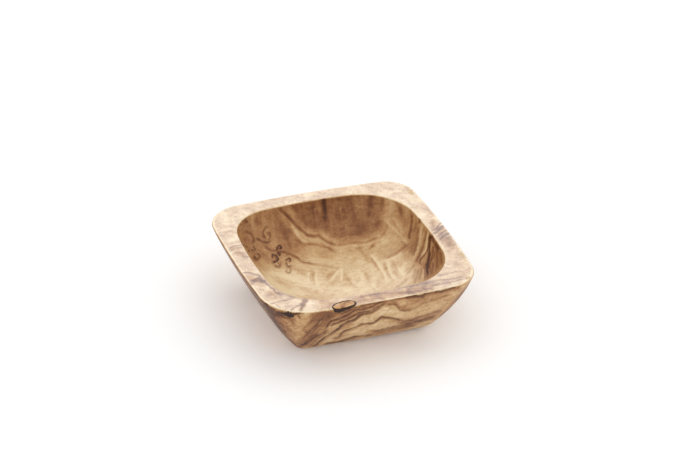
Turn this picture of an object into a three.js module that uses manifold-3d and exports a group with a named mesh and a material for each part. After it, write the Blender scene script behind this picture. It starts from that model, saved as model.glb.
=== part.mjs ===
// A square bowl carved from one block of olive wood. The pieces that are bounded off from the block are
// an encased knot in its sleeve of bark, a pocket of bark, and the filled chips along the rim.
// Millimetres, +Z up, -Y to the front. The origin is the middle of the face that the bowl stands on.

import * as THREE from "three";
import { mergeVertices } from "three/addons/utils/BufferGeometryUtils.js";
import Module from "manifold-3d";

const { degToRad, lerp } = THREE.MathUtils;

// Outside of the bowl
const RIM_SPAN = 120; // from the middle of one side of the rim to the middle of the opposite side
const BASE_SPAN = 73; // the same at the foot, where the slope of the walls would meet the table
const HEIGHT = 38;
const SIDE_RADIUS = 665; // the sides bow out a little, seen from above
const WALL_BOW = 2.5; // how far the wall stands out from a straight slope at mid-height
const RIM_CORNER_BACK_RIGHT = 16.7;
const RIM_CORNER_BACK_LEFT = 20;
const RIM_CORNER_FRONT_LEFT = 24.6;
const RIM_CORNER_FRONT_RIGHT = 19.1;
const BASE_CORNER = 2.5; // the corners sharpen towards the foot
const FOOT_ROUND = 4; // rounding from the wall into the face that the bowl stands on
const RIM_EDGE_ROUND = 0.9; // sanded outer edge of the rim

// Hollow
const RIM_WIDTH = 9.7; // wood between the outside and the opening, at the middle of a side
const FLOOR = 8.5; // wood under the lowest point of the hollow
const OPENING_SIDE_RADIUS = 269;
const OPENING_CORNER_BACK_RIGHT = 30.4;
const OPENING_CORNER_BACK_LEFT = 24.8;
const OPENING_CORNER_FRONT_LEFT = 28.2;
const OPENING_CORNER_FRONT_RIGHT = 30.6;
const OPENING_EDGE_ROUND = 0.7; // sanded inner edge of the rim
const HOLLOW_LEAN = degToRad(14); // of the hollow's wall from upright, just under the rim
const HOLLOW_WALL_FULLNESS = 0.56; // how far down the wall stays steep, as a share of the hollow's depth
const HOLLOW_FLOOR_FULLNESS = 0.54; // how far out the floor stays flat, as a share of the opening

// Encased knot at the front edge of the rim, leaning outwards, in a sleeve of bark
const KNOT_BEARING = degToRad(-108.4); // seen from the middle of the bowl, counted from +X
const KNOT_INSET = 2.4; // its middle, from the edge of the rim
const KNOT_LENGTH = 14; // along the edge, bark included
const KNOT_WIDTH = 8.2; // across the rim, bark included
const KNOT_DEPTH = 9; // along its own axis
const KNOT_LEAN = degToRad(40);
const BARK_WALL = 0.8;
const BARK_SHIFT = 0.4; // the bark is thicker on the outer side, so the knot sits further in

// Bark pocket under the edge of the rim, round the front left corner
const POCKET_BEARING = degToRad(-132);
const POCKET_DROP = 2.6; // its middle, below the rim
const POCKET_LENGTH = 11;
const POCKET_HEIGHT = 4.6;
const POCKET_DEPTH = 2.2;

// Filled chips in the rim: where they are, their size along and across the edge, and their depth
const FILLED_CHIPS = [
  { name: "rim_filler_back_right", bearing: degToRad(35.6), inset: 3, length: 7, width: 3.4, depth: 1.4 },
  { name: "rim_filler_right", bearing: degToRad(-26.4), inset: 2.2, length: 5, width: 3, depth: 1.3 },
  { name: "rim_filler_front_right", bearing: degToRad(-45.6), inset: 1.7, length: 3.6, width: 2.6, depth: 1.2 },
];

const INLAY_GAP = 0.2; // between an inlaid piece and its socket

// How finely the surfaces are divided
const SIDE_STEPS = 8;
const CORNER_STEPS = 10;
const WALL_STEPS = 6;
const FOOT_STEPS = 4;
const EDGE_STEPS = 3;
const HOLLOW_STEPS = 14;
const ELLIPSOID_STEPS = 18;
const EDGE_SEARCH_POINTS = 720;
const LEAST_CORNER = 0.5;

const RIM_CORNERS = [
  RIM_CORNER_BACK_RIGHT, RIM_CORNER_BACK_LEFT, RIM_CORNER_FRONT_LEFT, RIM_CORNER_FRONT_RIGHT,
];
const OPENING_CORNERS = [
  OPENING_CORNER_BACK_RIGHT, OPENING_CORNER_BACK_LEFT, OPENING_CORNER_FRONT_LEFT, OPENING_CORNER_FRONT_RIGHT,
];
const WALL_TOP = HEIGHT - RIM_EDGE_ROUND;
const RIGHT_ANGLE = Math.PI / 2;

const wasm = await Module();
wasm.setup();

// Square with bowed sides and rounded corners, as eight arcs that run smoothly into each other.
// half is the distance from the centre to the middle of a side.
function outlinePath(half, sideRadius, cornerRadii) {
  const sideCentre = half - sideRadius;
  const corners = cornerRadii.map((wanted) => {
    const radius = Math.max(wanted, LEAST_CORNER);
    const reach = sideRadius - radius;
    const root = Math.sqrt(2 * reach ** 2 - sideCentre ** 2);
    const centre = (sideCentre + root) / 2;
    return { radius, centre, turn: Math.atan2(centre, centre - sideCentre) };
  });
  const path = new THREE.Path();
  corners.forEach((corner, quarter) => {
    const start = quarter * RIGHT_ANGLE;
    const before = corners[(quarter + 3) % 4];
    const middle = new THREE.Vector2(sideCentre, 0).rotateAround(new THREE.Vector2(), start);
    path.absarc(middle.x, middle.y, sideRadius, start - before.turn, start + corner.turn);
    const pivot = new THREE.Vector2(corner.centre, corner.centre).rotateAround(new THREE.Vector2(), start);
    path.absarc(pivot.x, pivot.y, corner.radius, start + corner.turn, start + RIGHT_ANGLE - corner.turn);
  });
  path.curves = path.curves.filter((curve) => curve.isEllipseCurve);
  return path;
}

// Points of an outline at one height. Every ring has as many points, so rings can be joined one to one.
function outlineRing(path, z) {
  return path.curves.flatMap((arc, index) => {
    const steps = index % 2 === 0 ? SIDE_STEPS : CORNER_STEPS;
    return arc.getPoints(steps).slice(0, steps).map((point) => new THREE.Vector3(point.x, point.y, z));
  });
}

// Ring of the outer wall at height z, drawn in by inset from its slope, which ends under the rounded edge.
function wallRing(z, inset) {
  const rise = Math.min(z / WALL_TOP, 1);
  const half = lerp(BASE_SPAN / 2, RIM_SPAN / 2, rise) + 4 * WALL_BOW * rise * (1 - rise) - inset;
  const corners = RIM_CORNERS.map((radius) => lerp(BASE_CORNER, radius, rise) - inset);
  return outlineRing(outlinePath(half, SIDE_RADIUS - inset, corners), z);
}

// Ring of the opening at height z, set back by outset from its edge.
function openingRing(z, outset) {
  const half = RIM_SPAN / 2 - RIM_WIDTH + outset;
  const corners = OPENING_CORNERS.map((radius) => radius + outset);
  return outlineRing(outlinePath(half, OPENING_SIDE_RADIUS + outset, corners), z);
}

// Rings of the hollow, from the opening down to its lowest point. They turn from the opening's
// rounded square into circles as they go down.
function hollowRings() {
  const top = HEIGHT - OPENING_EDGE_ROUND;
  const depth = top - FLOOR;
  const half = RIM_SPAN / 2 - RIM_WIDTH;
  const steep = depth * HOLLOW_WALL_FULLNESS;
  const profile = new THREE.CubicBezierCurve(
    new THREE.Vector2(half, top),
    new THREE.Vector2(half - steep * Math.tan(HOLLOW_LEAN), top - steep),
    new THREE.Vector2(half * HOLLOW_FLOOR_FULLNESS, FLOOR),
    new THREE.Vector2(0, FLOOR),
  );
  const opening = openingRing(top, 0);
  return profile.getPoints(HOLLOW_STEPS).slice(1, HOLLOW_STEPS).map((level) => {
    const share = level.x / half;
    return opening.map((point) => {
      const square = point.clone().multiplyScalar(share);
      const round = point.clone().setZ(0).setLength(level.x);
      return round.lerp(square, share ** 2).setZ(level.y);
    });
  });
}

// Joins rings into one closed surface, with a point at the middle of the first and of the last ring.
function closedSurface(rings, firstPoint, lastPoint) {
  const around = rings[0].length;
  const points = [...rings.flat(), firstPoint, lastPoint];
  const first = points.length - 2;
  const last = points.length - 1;
  const lastStart = (rings.length - 1) * around;
  const triangles = [];
  for (let step = 0; step < around; step += 1) {
    const next = (step + 1) % around;
    triangles.push(first, next, step);
    triangles.push(lastStart + step, lastStart + next, last);
    for (let start = 0; start < lastStart; start += around) {
      triangles.push(start + step, start + next, start + around + next);
      triangles.push(start + step, start + around + next, start + around + step);
    }
  }
  const geometry = new THREE.BufferGeometry().setFromPoints(points);
  geometry.setIndex(triangles);
  return geometry;
}

// Numbers from 0 to 1 in even steps, both ends included.
function shares(steps) {
  return Array.from({ length: steps + 1 }, (unused, index) => index / steps);
}

// The whole block: foot, outer wall, rim and hollow.
function blockGeometry() {
  const foot = shares(FOOT_STEPS).map((share) => {
    const turn = share * RIGHT_ANGLE;
    return wallRing(FOOT_ROUND * (1 - Math.cos(turn)), FOOT_ROUND * (1 - Math.sin(turn)));
  });
  const wall = shares(WALL_STEPS).slice(1).map((share) => wallRing(lerp(FOOT_ROUND, WALL_TOP, share), 0));
  const outerEdge = shares(EDGE_STEPS).slice(1).map((share) => {
    const turn = share * RIGHT_ANGLE;
    return wallRing(WALL_TOP + RIM_EDGE_ROUND * Math.sin(turn), RIM_EDGE_ROUND * (1 - Math.cos(turn)));
  });
  const innerEdge = shares(EDGE_STEPS).map((share) => {
    const turn = share * RIGHT_ANGLE;
    const drop = OPENING_EDGE_ROUND * (1 - Math.cos(turn));
    return openingRing(HEIGHT - drop, OPENING_EDGE_ROUND * (1 - Math.sin(turn)));
  });
  const rings = [...foot, ...wall, ...outerEdge, ...innerEdge, ...hollowRings()];
  return closedSurface(rings, new THREE.Vector3(0, 0, 0), new THREE.Vector3(0, 0, FLOOR));
}

function solidOf(geometry) {
  const bare = geometry.clone();
  bare.deleteAttribute("normal");
  bare.deleteAttribute("uv");
  const merged = mergeVertices(bare);
  return new wasm.Manifold(new wasm.Mesh({
    numProp: 3,
    vertProperties: new Float32Array(merged.attributes.position.array),
    triVerts: new Uint32Array(merged.index.array),
  }));
}

function geometryOf(solid) {
  const mesh = solid.getMesh();
  const geometry = new THREE.BufferGeometry();
  geometry.setAttribute("position", new THREE.BufferAttribute(new Float32Array(mesh.vertProperties), 3));
  geometry.setIndex(new THREE.BufferAttribute(new Uint32Array(mesh.triVerts), 1));
  geometry.computeVertexNormals();
  return geometry;
}

// Frame at the edge of the rim on a bearing from the middle of the bowl:
// X along the edge, Y towards the middle, Z up, with its origin inset from the edge.
function edgeFrame(bearing, inset, z) {
  const edge = outlinePath(RIM_SPAN / 2, SIDE_RADIUS, RIM_CORNERS).getSpacedPoints(EDGE_SEARCH_POINTS);
  const towards = new THREE.Vector2(Math.cos(bearing), Math.sin(bearing));
  const offBearing = edge.map((point) => 1 - point.dot(towards) / point.length());
  const nearest = offBearing.indexOf(Math.min(...offBearing));
  const before = edge[(nearest + EDGE_SEARCH_POINTS - 1) % EDGE_SEARCH_POINTS];
  const after = edge[(nearest + 1) % EDGE_SEARCH_POINTS];
  const along = new THREE.Vector3(after.x - before.x, after.y - before.y, 0).normalize();
  const up = new THREE.Vector3(0, 0, 1);
  const inwards = up.clone().cross(along);
  const origin = new THREE.Vector3(edge[nearest].x, edge[nearest].y, z).addScaledVector(inwards, inset);
  return new THREE.Matrix4().makeBasis(along, inwards, up).setPosition(origin);
}

// Ellipsoid in an edge frame, shrunk all round, leaning outwards and shifted inwards.
function ellipsoid(frame, halfSize, shrink, lean = 0, shift = 0) {
  const geometry = new THREE.SphereGeometry(1, ELLIPSOID_STEPS, Math.ceil(ELLIPSOID_STEPS / 2));
  geometry.rotateX(RIGHT_ANGLE);
  geometry.scale(halfSize.x - shrink, halfSize.y - shrink, halfSize.z - shrink);
  geometry.rotateX(lean);
  geometry.translate(0, shift, 0);
  geometry.applyMatrix4(frame);
  return solidOf(geometry);
}

const block = solidOf(blockGeometry());

// Knot and its sleeve of bark. Both end flush with the rim and the wall.
const knotFrame = edgeFrame(KNOT_BEARING, KNOT_INSET, HEIGHT);
const knotHalf = new THREE.Vector3(KNOT_LENGTH / 2, (KNOT_WIDTH / 2) * Math.cos(KNOT_LEAN), KNOT_DEPTH);
const knotSocket = ellipsoid(knotFrame, knotHalf, 0, KNOT_LEAN);
const sleeveOutside = ellipsoid(knotFrame, knotHalf, INLAY_GAP, KNOT_LEAN);
const sleeveInside = ellipsoid(knotFrame, knotHalf, INLAY_GAP + BARK_WALL, KNOT_LEAN, BARK_SHIFT);
const knotCore = ellipsoid(knotFrame, knotHalf, 2 * INLAY_GAP + BARK_WALL, KNOT_LEAN, BARK_SHIFT);
const knotSleeve = sleeveOutside.subtract(sleeveInside).intersect(block);
const knot = knotCore.intersect(block);

// Bark pocket
const pocketFrame = edgeFrame(POCKET_BEARING, 0, HEIGHT - POCKET_DROP);
const pocketHalf = new THREE.Vector3(POCKET_LENGTH / 2, POCKET_DEPTH, POCKET_HEIGHT / 2);
const pocketSocket = ellipsoid(pocketFrame, pocketHalf, 0);
const pocketBark = ellipsoid(pocketFrame, pocketHalf, INLAY_GAP).intersect(block);

// Filled chips
const chips = FILLED_CHIPS.map((chip) => {
  const frame = edgeFrame(chip.bearing, chip.inset, HEIGHT);
  const half = new THREE.Vector3(chip.length / 2, chip.width / 2, chip.depth);
  return {
    name: chip.name,
    socket: ellipsoid(frame, half, 0),
    filler: ellipsoid(frame, half, INLAY_GAP).intersect(block),
  };
});

const sockets = [knotSocket, pocketSocket, ...chips.map((chip) => chip.socket)];
const body = sockets.reduce((rest, socket) => rest.subtract(socket), block);

const oliveWood = new THREE.MeshStandardMaterial({ color: "#c8a272", roughness: 0.5, metalness: 0 });
const knotWood = new THREE.MeshStandardMaterial({ color: "#c79862", roughness: 0.55, metalness: 0 });
const bark = new THREE.MeshStandardMaterial({ color: "#2c201c", roughness: 0.9, metalness: 0 });
const filler = new THREE.MeshStandardMaterial({ color: "#e8dfc8", roughness: 0.7, metalness: 0 });

const bowl = new THREE.Group();

function addPiece(name, solid, material) {
  const piece = new THREE.Mesh(geometryOf(solid), material.clone());
  piece.name = name;
  bowl.add(piece);
}

addPiece("bowl_body", body, oliveWood);
addPiece("rim_knot", knot, knotWood);
addPiece("knot_bark_sleeve", knotSleeve, bark);
addPiece("bark_pocket", pocketBark, bark);
chips.forEach((chip) => addPiece(chip.name, chip.filler, filler));

export default bowl;
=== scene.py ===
"""Small square bowl of olive wood: the block with its figure, the knot in its bark, and the filled chips.

Metres, +Z up, -Y to the front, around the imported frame. Pixel coordinates are in the 700 x 473 photograph.
"""

import math

import bmesh
import bpy
import numpy as np
from mathutils import Matrix, Vector, noise
from mathutils.kdtree import KDTree


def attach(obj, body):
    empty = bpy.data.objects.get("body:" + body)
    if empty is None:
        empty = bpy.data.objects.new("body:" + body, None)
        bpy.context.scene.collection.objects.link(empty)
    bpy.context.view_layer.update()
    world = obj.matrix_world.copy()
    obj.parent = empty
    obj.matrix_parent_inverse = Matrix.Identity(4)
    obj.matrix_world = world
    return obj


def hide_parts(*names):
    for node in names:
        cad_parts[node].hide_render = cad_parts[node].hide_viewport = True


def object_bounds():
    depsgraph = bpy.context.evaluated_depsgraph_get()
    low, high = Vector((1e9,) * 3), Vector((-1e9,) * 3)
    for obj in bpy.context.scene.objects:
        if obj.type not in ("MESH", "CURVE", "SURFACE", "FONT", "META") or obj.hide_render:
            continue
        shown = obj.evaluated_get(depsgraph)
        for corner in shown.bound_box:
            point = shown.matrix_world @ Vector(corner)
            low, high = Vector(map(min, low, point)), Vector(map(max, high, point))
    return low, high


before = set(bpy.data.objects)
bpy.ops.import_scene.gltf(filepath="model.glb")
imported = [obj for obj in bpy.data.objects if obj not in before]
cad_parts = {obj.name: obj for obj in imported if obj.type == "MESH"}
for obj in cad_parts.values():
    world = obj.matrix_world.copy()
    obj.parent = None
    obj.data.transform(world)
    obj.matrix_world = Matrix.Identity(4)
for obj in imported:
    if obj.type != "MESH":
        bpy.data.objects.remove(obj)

bl_info = {
    "name": "Olive wood bowl",
    "version": (1, 0, 0),
    "blender": (4, 5, 0),
    "location": "3D View > Sidebar > Olive Bowl",
    "description": "Makes a small square bowl of olive wood with its knot, bark and filled chips",
    "category": "Add Mesh",
}

CAD_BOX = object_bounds()
MM = 0.001
RIGHT_ANGLE = math.pi / 2

# Camera, as the photograph was taken
PHOTO_WIDTH = 700
PHOTO_HEIGHT = 473
CAMERA_BEARING = math.radians(-21.04)  # from straight in front, towards the left
CAMERA_ELEVATION = math.radians(31.62)
CAMERA_DISTANCE = 1962.5 * MM
CAMERA_AIM = Vector((7.57, 7.36, 38.0)) * MM
CAMERA_ROLL = math.radians(1.354)
CAMERA_LENS = 187.1
SENSOR_WIDTH = 36.0
LENS_PIXELS = CAMERA_LENS / SENSOR_WIDTH * PHOTO_WIDTH

# White floor and soft light
FLOOR_SIZE = 6.0
FLOOR_DROP = 0.05 * MM
FLOOR_GLOW = 0.10  # the paper is lit from below too, as on a light table
HORIZON_LIGHT = 0.68
ZENITH_LIGHT = 1.19
SOFTBOX_BEARING = math.radians(10)  # behind the bowl, towards the right
SOFTBOX_ELEVATION = math.radians(33)
SOFTBOX_DISTANCE = 1.6
SOFTBOX_SIZE = (1.8, 0.7)
SOFTBOX_POWER = 24.0

# How finely the block is divided; a ring has four sides and four corners, and can be halved five times
SIDE_STEPS = 96
CORNER_STEPS = 48
FOOT_STEPS = 8
WALL_STEPS = 55
EDGE_STEPS = 4
RIM_STEPS = 14
HOLLOW_STEPS = 101
HOLLOW_SAMPLES = 20 * HOLLOW_STEPS
BASE_SHARES = (0.06, 0.12, 0.24, 0.49, 0.85)  # rings of the flat base, beside the size of the foot
LEAST_CORNER = 0.5 * MM
FEWEST_AROUND = 18
WELD_DISTANCE = 0.002 * MM
SHARP_ANGLE = math.radians(40)

# Knife and sandpaper leave the walls a little uneven: (waves around, waves from top to bottom, phase)
HAND_WAVES = ((3, 1.0, 0.4), (5, 1.7, 2.1), (9, 2.3, 4.0))
HAND_DEPTH = 0.10 * MM

# Where the inlays are: bearing from the middle of the bowl, counted from +X, and distance in from the edge
KNOT_BEARING = math.radians(-108.4)
KNOT_INSET = 2.4 * MM
KNOT_LEAN = math.radians(40)
KNOT_TWIST = math.radians(12)  # its right end lies further in
KNOT_SEED = 1.7
POCKET_BEARING = math.radians(-132)
POCKET_DROP = 2.6 * MM
POCKET_SEED = 4.1
CHIPS = {
    "rim_filler_back_right": (math.radians(35.6), 3.0 * MM, (7.0 * MM, 3.4 * MM, 1.4 * MM)),
    "rim_filler_right": (math.radians(-26.4), 2.2 * MM, (5.0 * MM, 3.0 * MM, 1.3 * MM)),
    "rim_filler_front_right": (math.radians(-45.6), 1.7 * MM, (3.6 * MM, 2.6 * MM, 1.2 * MM)),
}
INLAY_GAP = 0.08 * MM

# Inlays are rough lumps: waves across a radius, and how far they go in and out as a share of the radius
LUMP_DIVISIONS = 5
LUMP_BLUNTNESS = 2.05  # 2 would make an ellipsoid
LUMP_ROUGHNESS = 0.13
LUMP_WAVES = 1.4
FINE_WAVES = 3  # to each of the waves
FINE_ROUGHNESS = 0.5  # beside that of the waves
ROUGH_LOSS = 0.25  # of the roughness; a rough lump is a little smaller
CHIP_ROUGHNESS = 0.45
CHIP_WAVES = 2.2
POCKET_ROUGHNESS = 0.55
POCKET_WAVES = 4.4
POCKET_POINT = 0.70  # how far the pocket narrows to a point at its foot
POCKET_SHORT_END = 0.62  # length of its right end, beside that of its left end

# The figure of the wood, traced
# Lines: half width in pixels, darkness, and the pixels that they pass
FRONT_LINES = {
    "main_wave": (0.75, 0.85, (
        (339, 335.5), (341.7, 332.1), (345.6, 330.4), (350.7, 329.1), (355.8, 327), (360.9, 324.3),
        (366, 323.3), (371, 323.4), (375.2, 321.7), (378.3, 318.9), (381.5, 317), (386.4, 317.2),
        (392.6, 317.9), (397.1, 318.7), (399.7, 320.2), (398.2, 322.8))),
    "wave_foot": (0.60, 0.70, ((333.5, 338.3), (337, 337.5), (339.5, 336.6), (341, 333.5))),
    "steep_line": (0.85, 0.95, (
        (311, 346.7), (315, 345), (318, 342.5), (321, 340), (325, 336.7), (328.3, 334.6),
        (334.4, 331.2), (338.5, 328.4), (342.6, 324.3), (348.7, 321.2), (351.7, 320.5), (355.8, 317.7),
        (359.9, 314.8), (364, 313.2))),
    "second_steep_line": (0.85, 0.90, (
        (300, 345), (305.5, 343.5), (309, 341), (313, 338.2), (316, 336.4), (320, 334.2), (325, 331.5),
        (327.5, 328.5))),
    "between_the_steep_lines": (0.60, 0.45, (
        (308, 345.6), (313, 342.6), (318, 338.6), (323, 335.4), (330, 331.8))),
    "beside_the_steep_lines": (0.60, 0.50, ((303, 343.3), (308, 339.8), (312, 336.6), (318, 333.2))),
    "bundle_1": (0.65, 0.75, (
        (358.9, 305.6), (363, 305), (368.1, 304), (372.1, 303.5), (376.2, 302.4), (381.3, 300.9),
        (386.4, 299.9), (392.6, 298.4), (396.6, 297), (401.7, 296.5))),
    "bundle_2": (0.65, 0.80, (
        (321.5, 332), (324, 330), (326, 327.3), (328.5, 323.7), (331.3, 320.8), (335.4, 319.6),
        (341.5, 317.4), (347.7, 314.6), (350.7, 312.6), (353.8, 310.3), (356.8, 309.6), (363, 309),
        (366, 308), (372.1, 306.4), (376.2, 304), (380.3, 301.9), (386.4, 300.5))),
    "bundle_3": (0.65, 0.85, (
        (330.6, 328), (331.8, 324.6), (335.4, 323.3), (339.5, 321.7), (345.6, 319.2), (350.7, 317.1),
        (355.8, 314.1), (358.9, 312.6), (363, 312), (370.1, 311), (376.2, 307.4), (382.3, 304.4),
        (386.4, 302.5))),
    "bundle_4": (0.60, 0.80, (
        (351.7, 320.6), (355.8, 318.7), (358.9, 315.7), (363, 314.1), (368.1, 313.1), (372.1, 312.3),
        (376.2, 309.7), (381, 306.8))),
    "bundle_5": (0.55, 0.60, ((340, 313.8), (347, 311.5), (354, 308), (360, 307.2), (368, 306))),
    "under_the_rim": (0.85, 0.90, (
        (388.5, 300.3), (394.6, 298.5), (399.7, 297.5), (408, 296.6), (417, 295.8), (422.1, 295.2),
        (424.2, 294.2), (429.3, 293), (435.4, 291.9), (441.5, 291.1), (447.7, 289.1), (451.7, 287.4),
        (455.8, 286.7), (460, 287))),
    "tick_under_the_rim": (0.50, 0.70, ((423.2, 294.5), (423.2, 297.6))),
    "swoosh_line": (0.60, 0.55, (
        (386.4, 305.4), (390.5, 303.8), (395.6, 304.2), (398.3, 307), (400.8, 309.6), (406, 310.4),
        (412, 309.3))),
    "swoosh_tail": (0.60, 0.35, (
        (411, 309), (417, 306.8), (423, 302.9), (437.4, 298.5), (450.7, 294.4))),
    "right_stripe_1": (0.75, 0.50, (
        (399.7, 320.2), (406.8, 320.5), (417, 317.7), (425.2, 314.8), (433.4, 312.2), (441.5, 311))),
    "right_stripe_2": (0.70, 0.65, (
        (398.5, 322.8), (406.8, 322.2), (417, 320.2), (427.2, 317.3), (436.4, 314.4))),
    "low_line": (0.70, 0.75, (
        (372.1, 331), (380.3, 329.9), (388.5, 327.5), (396.6, 325.9), (406.8, 324.3), (417, 321.4),
        (427.2, 318.9), (435.4, 316.3))),
    "low_second_line": (0.60, 0.50, ((386.4, 329.3), (396.6, 327.5), (406.8, 326), (413, 324.7))),
    "low_third_line": (0.60, 0.45, (
        (376.2, 332.6), (386.4, 330.8), (396.6, 328.9), (406.8, 326.9), (417, 324.4))),
    # Dark outline along the foot: painted shade where the wall turns under
    "foot_line": (0.80, 0.80, (
        (330.3, 343), (340.5, 341.2), (348.7, 338.6), (357.9, 336.1), (368.1, 334.9), (372.1, 334))),
    # Dark line along the right silhouette: painted shade on the side turned from the light
    "right_outline": (0.90, 0.55, (
        (470, 284), (464, 291.5), (457.5, 299), (450.5, 306.5), (444, 313.5), (439, 318.5))),
    # Dark tip of the outline along the foot: painted shade where the wall turns under
    "foot_tip": (0.60, 0.70, ((324, 344.2), (328, 343.3), (332, 342.4))),
    "corner_shade": (1.00, 0.85, (
        (264.5, 302.6), (267.5, 305.8), (270, 308), (273.5, 310), (277, 311.5), (281, 313),
        (285, 314))),
    "corner_line": (0.75, 0.55, (
        (267.5, 309.5), (271.5, 312.5), (275, 314), (279.5, 315.4), (283, 316.6))),
    "pocket_edge": (0.55, 0.85, ((288, 313), (293, 313.3), (297, 313.2), (301, 313))),
    "pocket_streak": (0.60, 0.90, ((288.5, 317.6), (291, 316), (293.5, 314.8), (297, 313.6))),
    "pocket_left_streak": (0.65, 0.75, ((281, 314.4), (283.5, 316.4), (287, 318.4))),
    "pocket_tick": (0.50, 0.70, (
        (299.8, 312.5), (299.6, 314.3), (298.5, 315.7), (299.5, 317.5), (300, 318.4))),
    "pocket_tick_right": (0.45, 0.50, ((302.8, 312), (302.2, 314.2))),
    "dark_fleck": (0.65, 0.55, ((320, 321), (318.4, 324.2), (316.6, 327.4), (314, 330.4))),
    "fan_1": (0.55, 0.34, ((303, 338), (309, 331.5), (314, 326), (319, 320.5), (324, 316.5))),
    "fan_2": (0.55, 0.38, ((309, 336), (314, 330.5), (319, 325.5), (324, 320), (330, 316))),
    "fan_3": (0.50, 0.34, ((315, 334), (320, 328.5), (324.5, 323.5), (329, 319), (336, 315))),
    "fan_4": (0.50, 0.28, ((299, 333), (305, 327.5), (310, 322.5), (315, 317.5))),
    "fleck_left": (0.60, 0.50, ((312.5, 327.4), (314.6, 325.2), (316, 323))),
    "low_fleck": (0.70, 0.45, ((305.5, 330.6), (307.5, 332.6), (308, 334.2))),
}
RIM_LINES = {
    "inner_speckle": (0.75, 0.90, (
        (259.5, 278.6), (262.5, 281.6), (264.5, 281), (267, 283.6), (269.5, 285), (271, 287.6),
        (273.5, 288.6), (275, 290.8), (278, 293), (282, 295))),
    "inner_line": (0.70, 0.60, ((284, 292), (290, 295.6), (295, 297.5), (302.5, 298), (307.5, 298.8))),
    "grey_line": (0.70, 0.55, ((296.3, 297.5), (288.8, 300), (281.3, 301.3), (275, 303), (270, 304.4))),
    "line_to_the_pocket": (0.55, 0.50, ((276, 303.6), (278, 306), (281, 308.8))),
    "grey_band": (1.50, 0.75, ((308.3, 299.4), (305, 303), (303.2, 306), (300.5, 310.8))),
    "grey_band_top": (0.90, 0.40, ((304, 298.6), (303, 302))),
    "grey_band_side": (0.90, 0.65, ((302, 304.5), (297, 306.5), (293, 309), (291, 311))),
    "left_arc": (0.70, 0.80, (
        (242, 273), (243.8, 272.2), (248.8, 272.5), (253.8, 273.8), (258, 275), (261.2, 276.9))),
    "second_left_arc": (0.85, 0.85, (
        (250.5, 284.6), (252.5, 283), (255, 280), (259.4, 278), (261.5, 276.9))),
    "third_left_arc": (0.60, 0.60, ((249, 282.4), (253, 279.8), (257.5, 277.6), (260, 277))),
    "below_the_arcs": (0.60, 0.45, ((261, 278), (263.5, 281.5), (267, 283), (271, 287), (276, 290))),
    "left_streak_1": (0.90, 0.60, ((228.8, 248.8), (233.8, 246.3), (238.8, 245.6), (243, 243.8))),
    "left_streak_2": (0.70, 0.55, ((230, 250.6), (235.6, 248), (240, 247.5), (243, 246.4))),
    "left_streak_3": (0.60, 0.45, ((234, 253.5), (239, 252), (244, 253.6))),
    "left_blotch": (0.80, 0.55, ((242, 255.6), (246, 257), (249, 256.4))),
    "right_crossing_1": (0.50, 0.90, (
        (442, 222.6), (439.5, 224.6), (437.5, 227.5), (435.5, 229.4), (432, 230.6))),
    "right_crossing_2": (0.55, 0.95, (
        (444, 225.5), (441, 228), (438.5, 231), (436, 233), (432.5, 233.6))),
    "right_crossing_3": (0.65, 1.00, ((449.8, 233), (446, 235), (443, 237), (439.5, 239.8))),
    "right_crossing_4": (0.50, 0.80, ((447, 230), (443, 232.4), (439.5, 235.6), (437, 237.6))),
    "right_crossing_5": (0.55, 0.40, ((452, 236.5), (448, 238.6), (444.5, 241), (442, 243.4))),
    "front_parallel_1": (0.45, 0.62, ((430.5, 285.5), (445, 283), (457, 280.5), (466, 277))),
    "front_parallel_2": (0.50, 0.62, (
        (357, 297.3), (365, 295.3), (378, 293.3), (392, 292.6), (405, 292.6), (415, 291.3),
        (420, 290.5), (424, 288.5), (429, 288), (433, 289.6))),
    "front_parallel_3": (0.45, 0.60, (
        (395, 289), (410, 285.2), (425, 282.2), (440, 280), (455, 278.3), (467, 275))),
    "front_parallel_4": (0.45, 0.45, ((438, 276), (450, 272.8), (462, 270.8))),
    "front_parallel_5": (0.45, 0.50, ((400, 287.5), (418, 284.6), (436, 282))),
    "front_tick": (0.80, 0.35, ((319.8, 300.9), (322.8, 300.4))),
    "left_of_the_knot": (0.60, 0.35, ((326, 305), (329, 307.5), (330, 310))),
}
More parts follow.
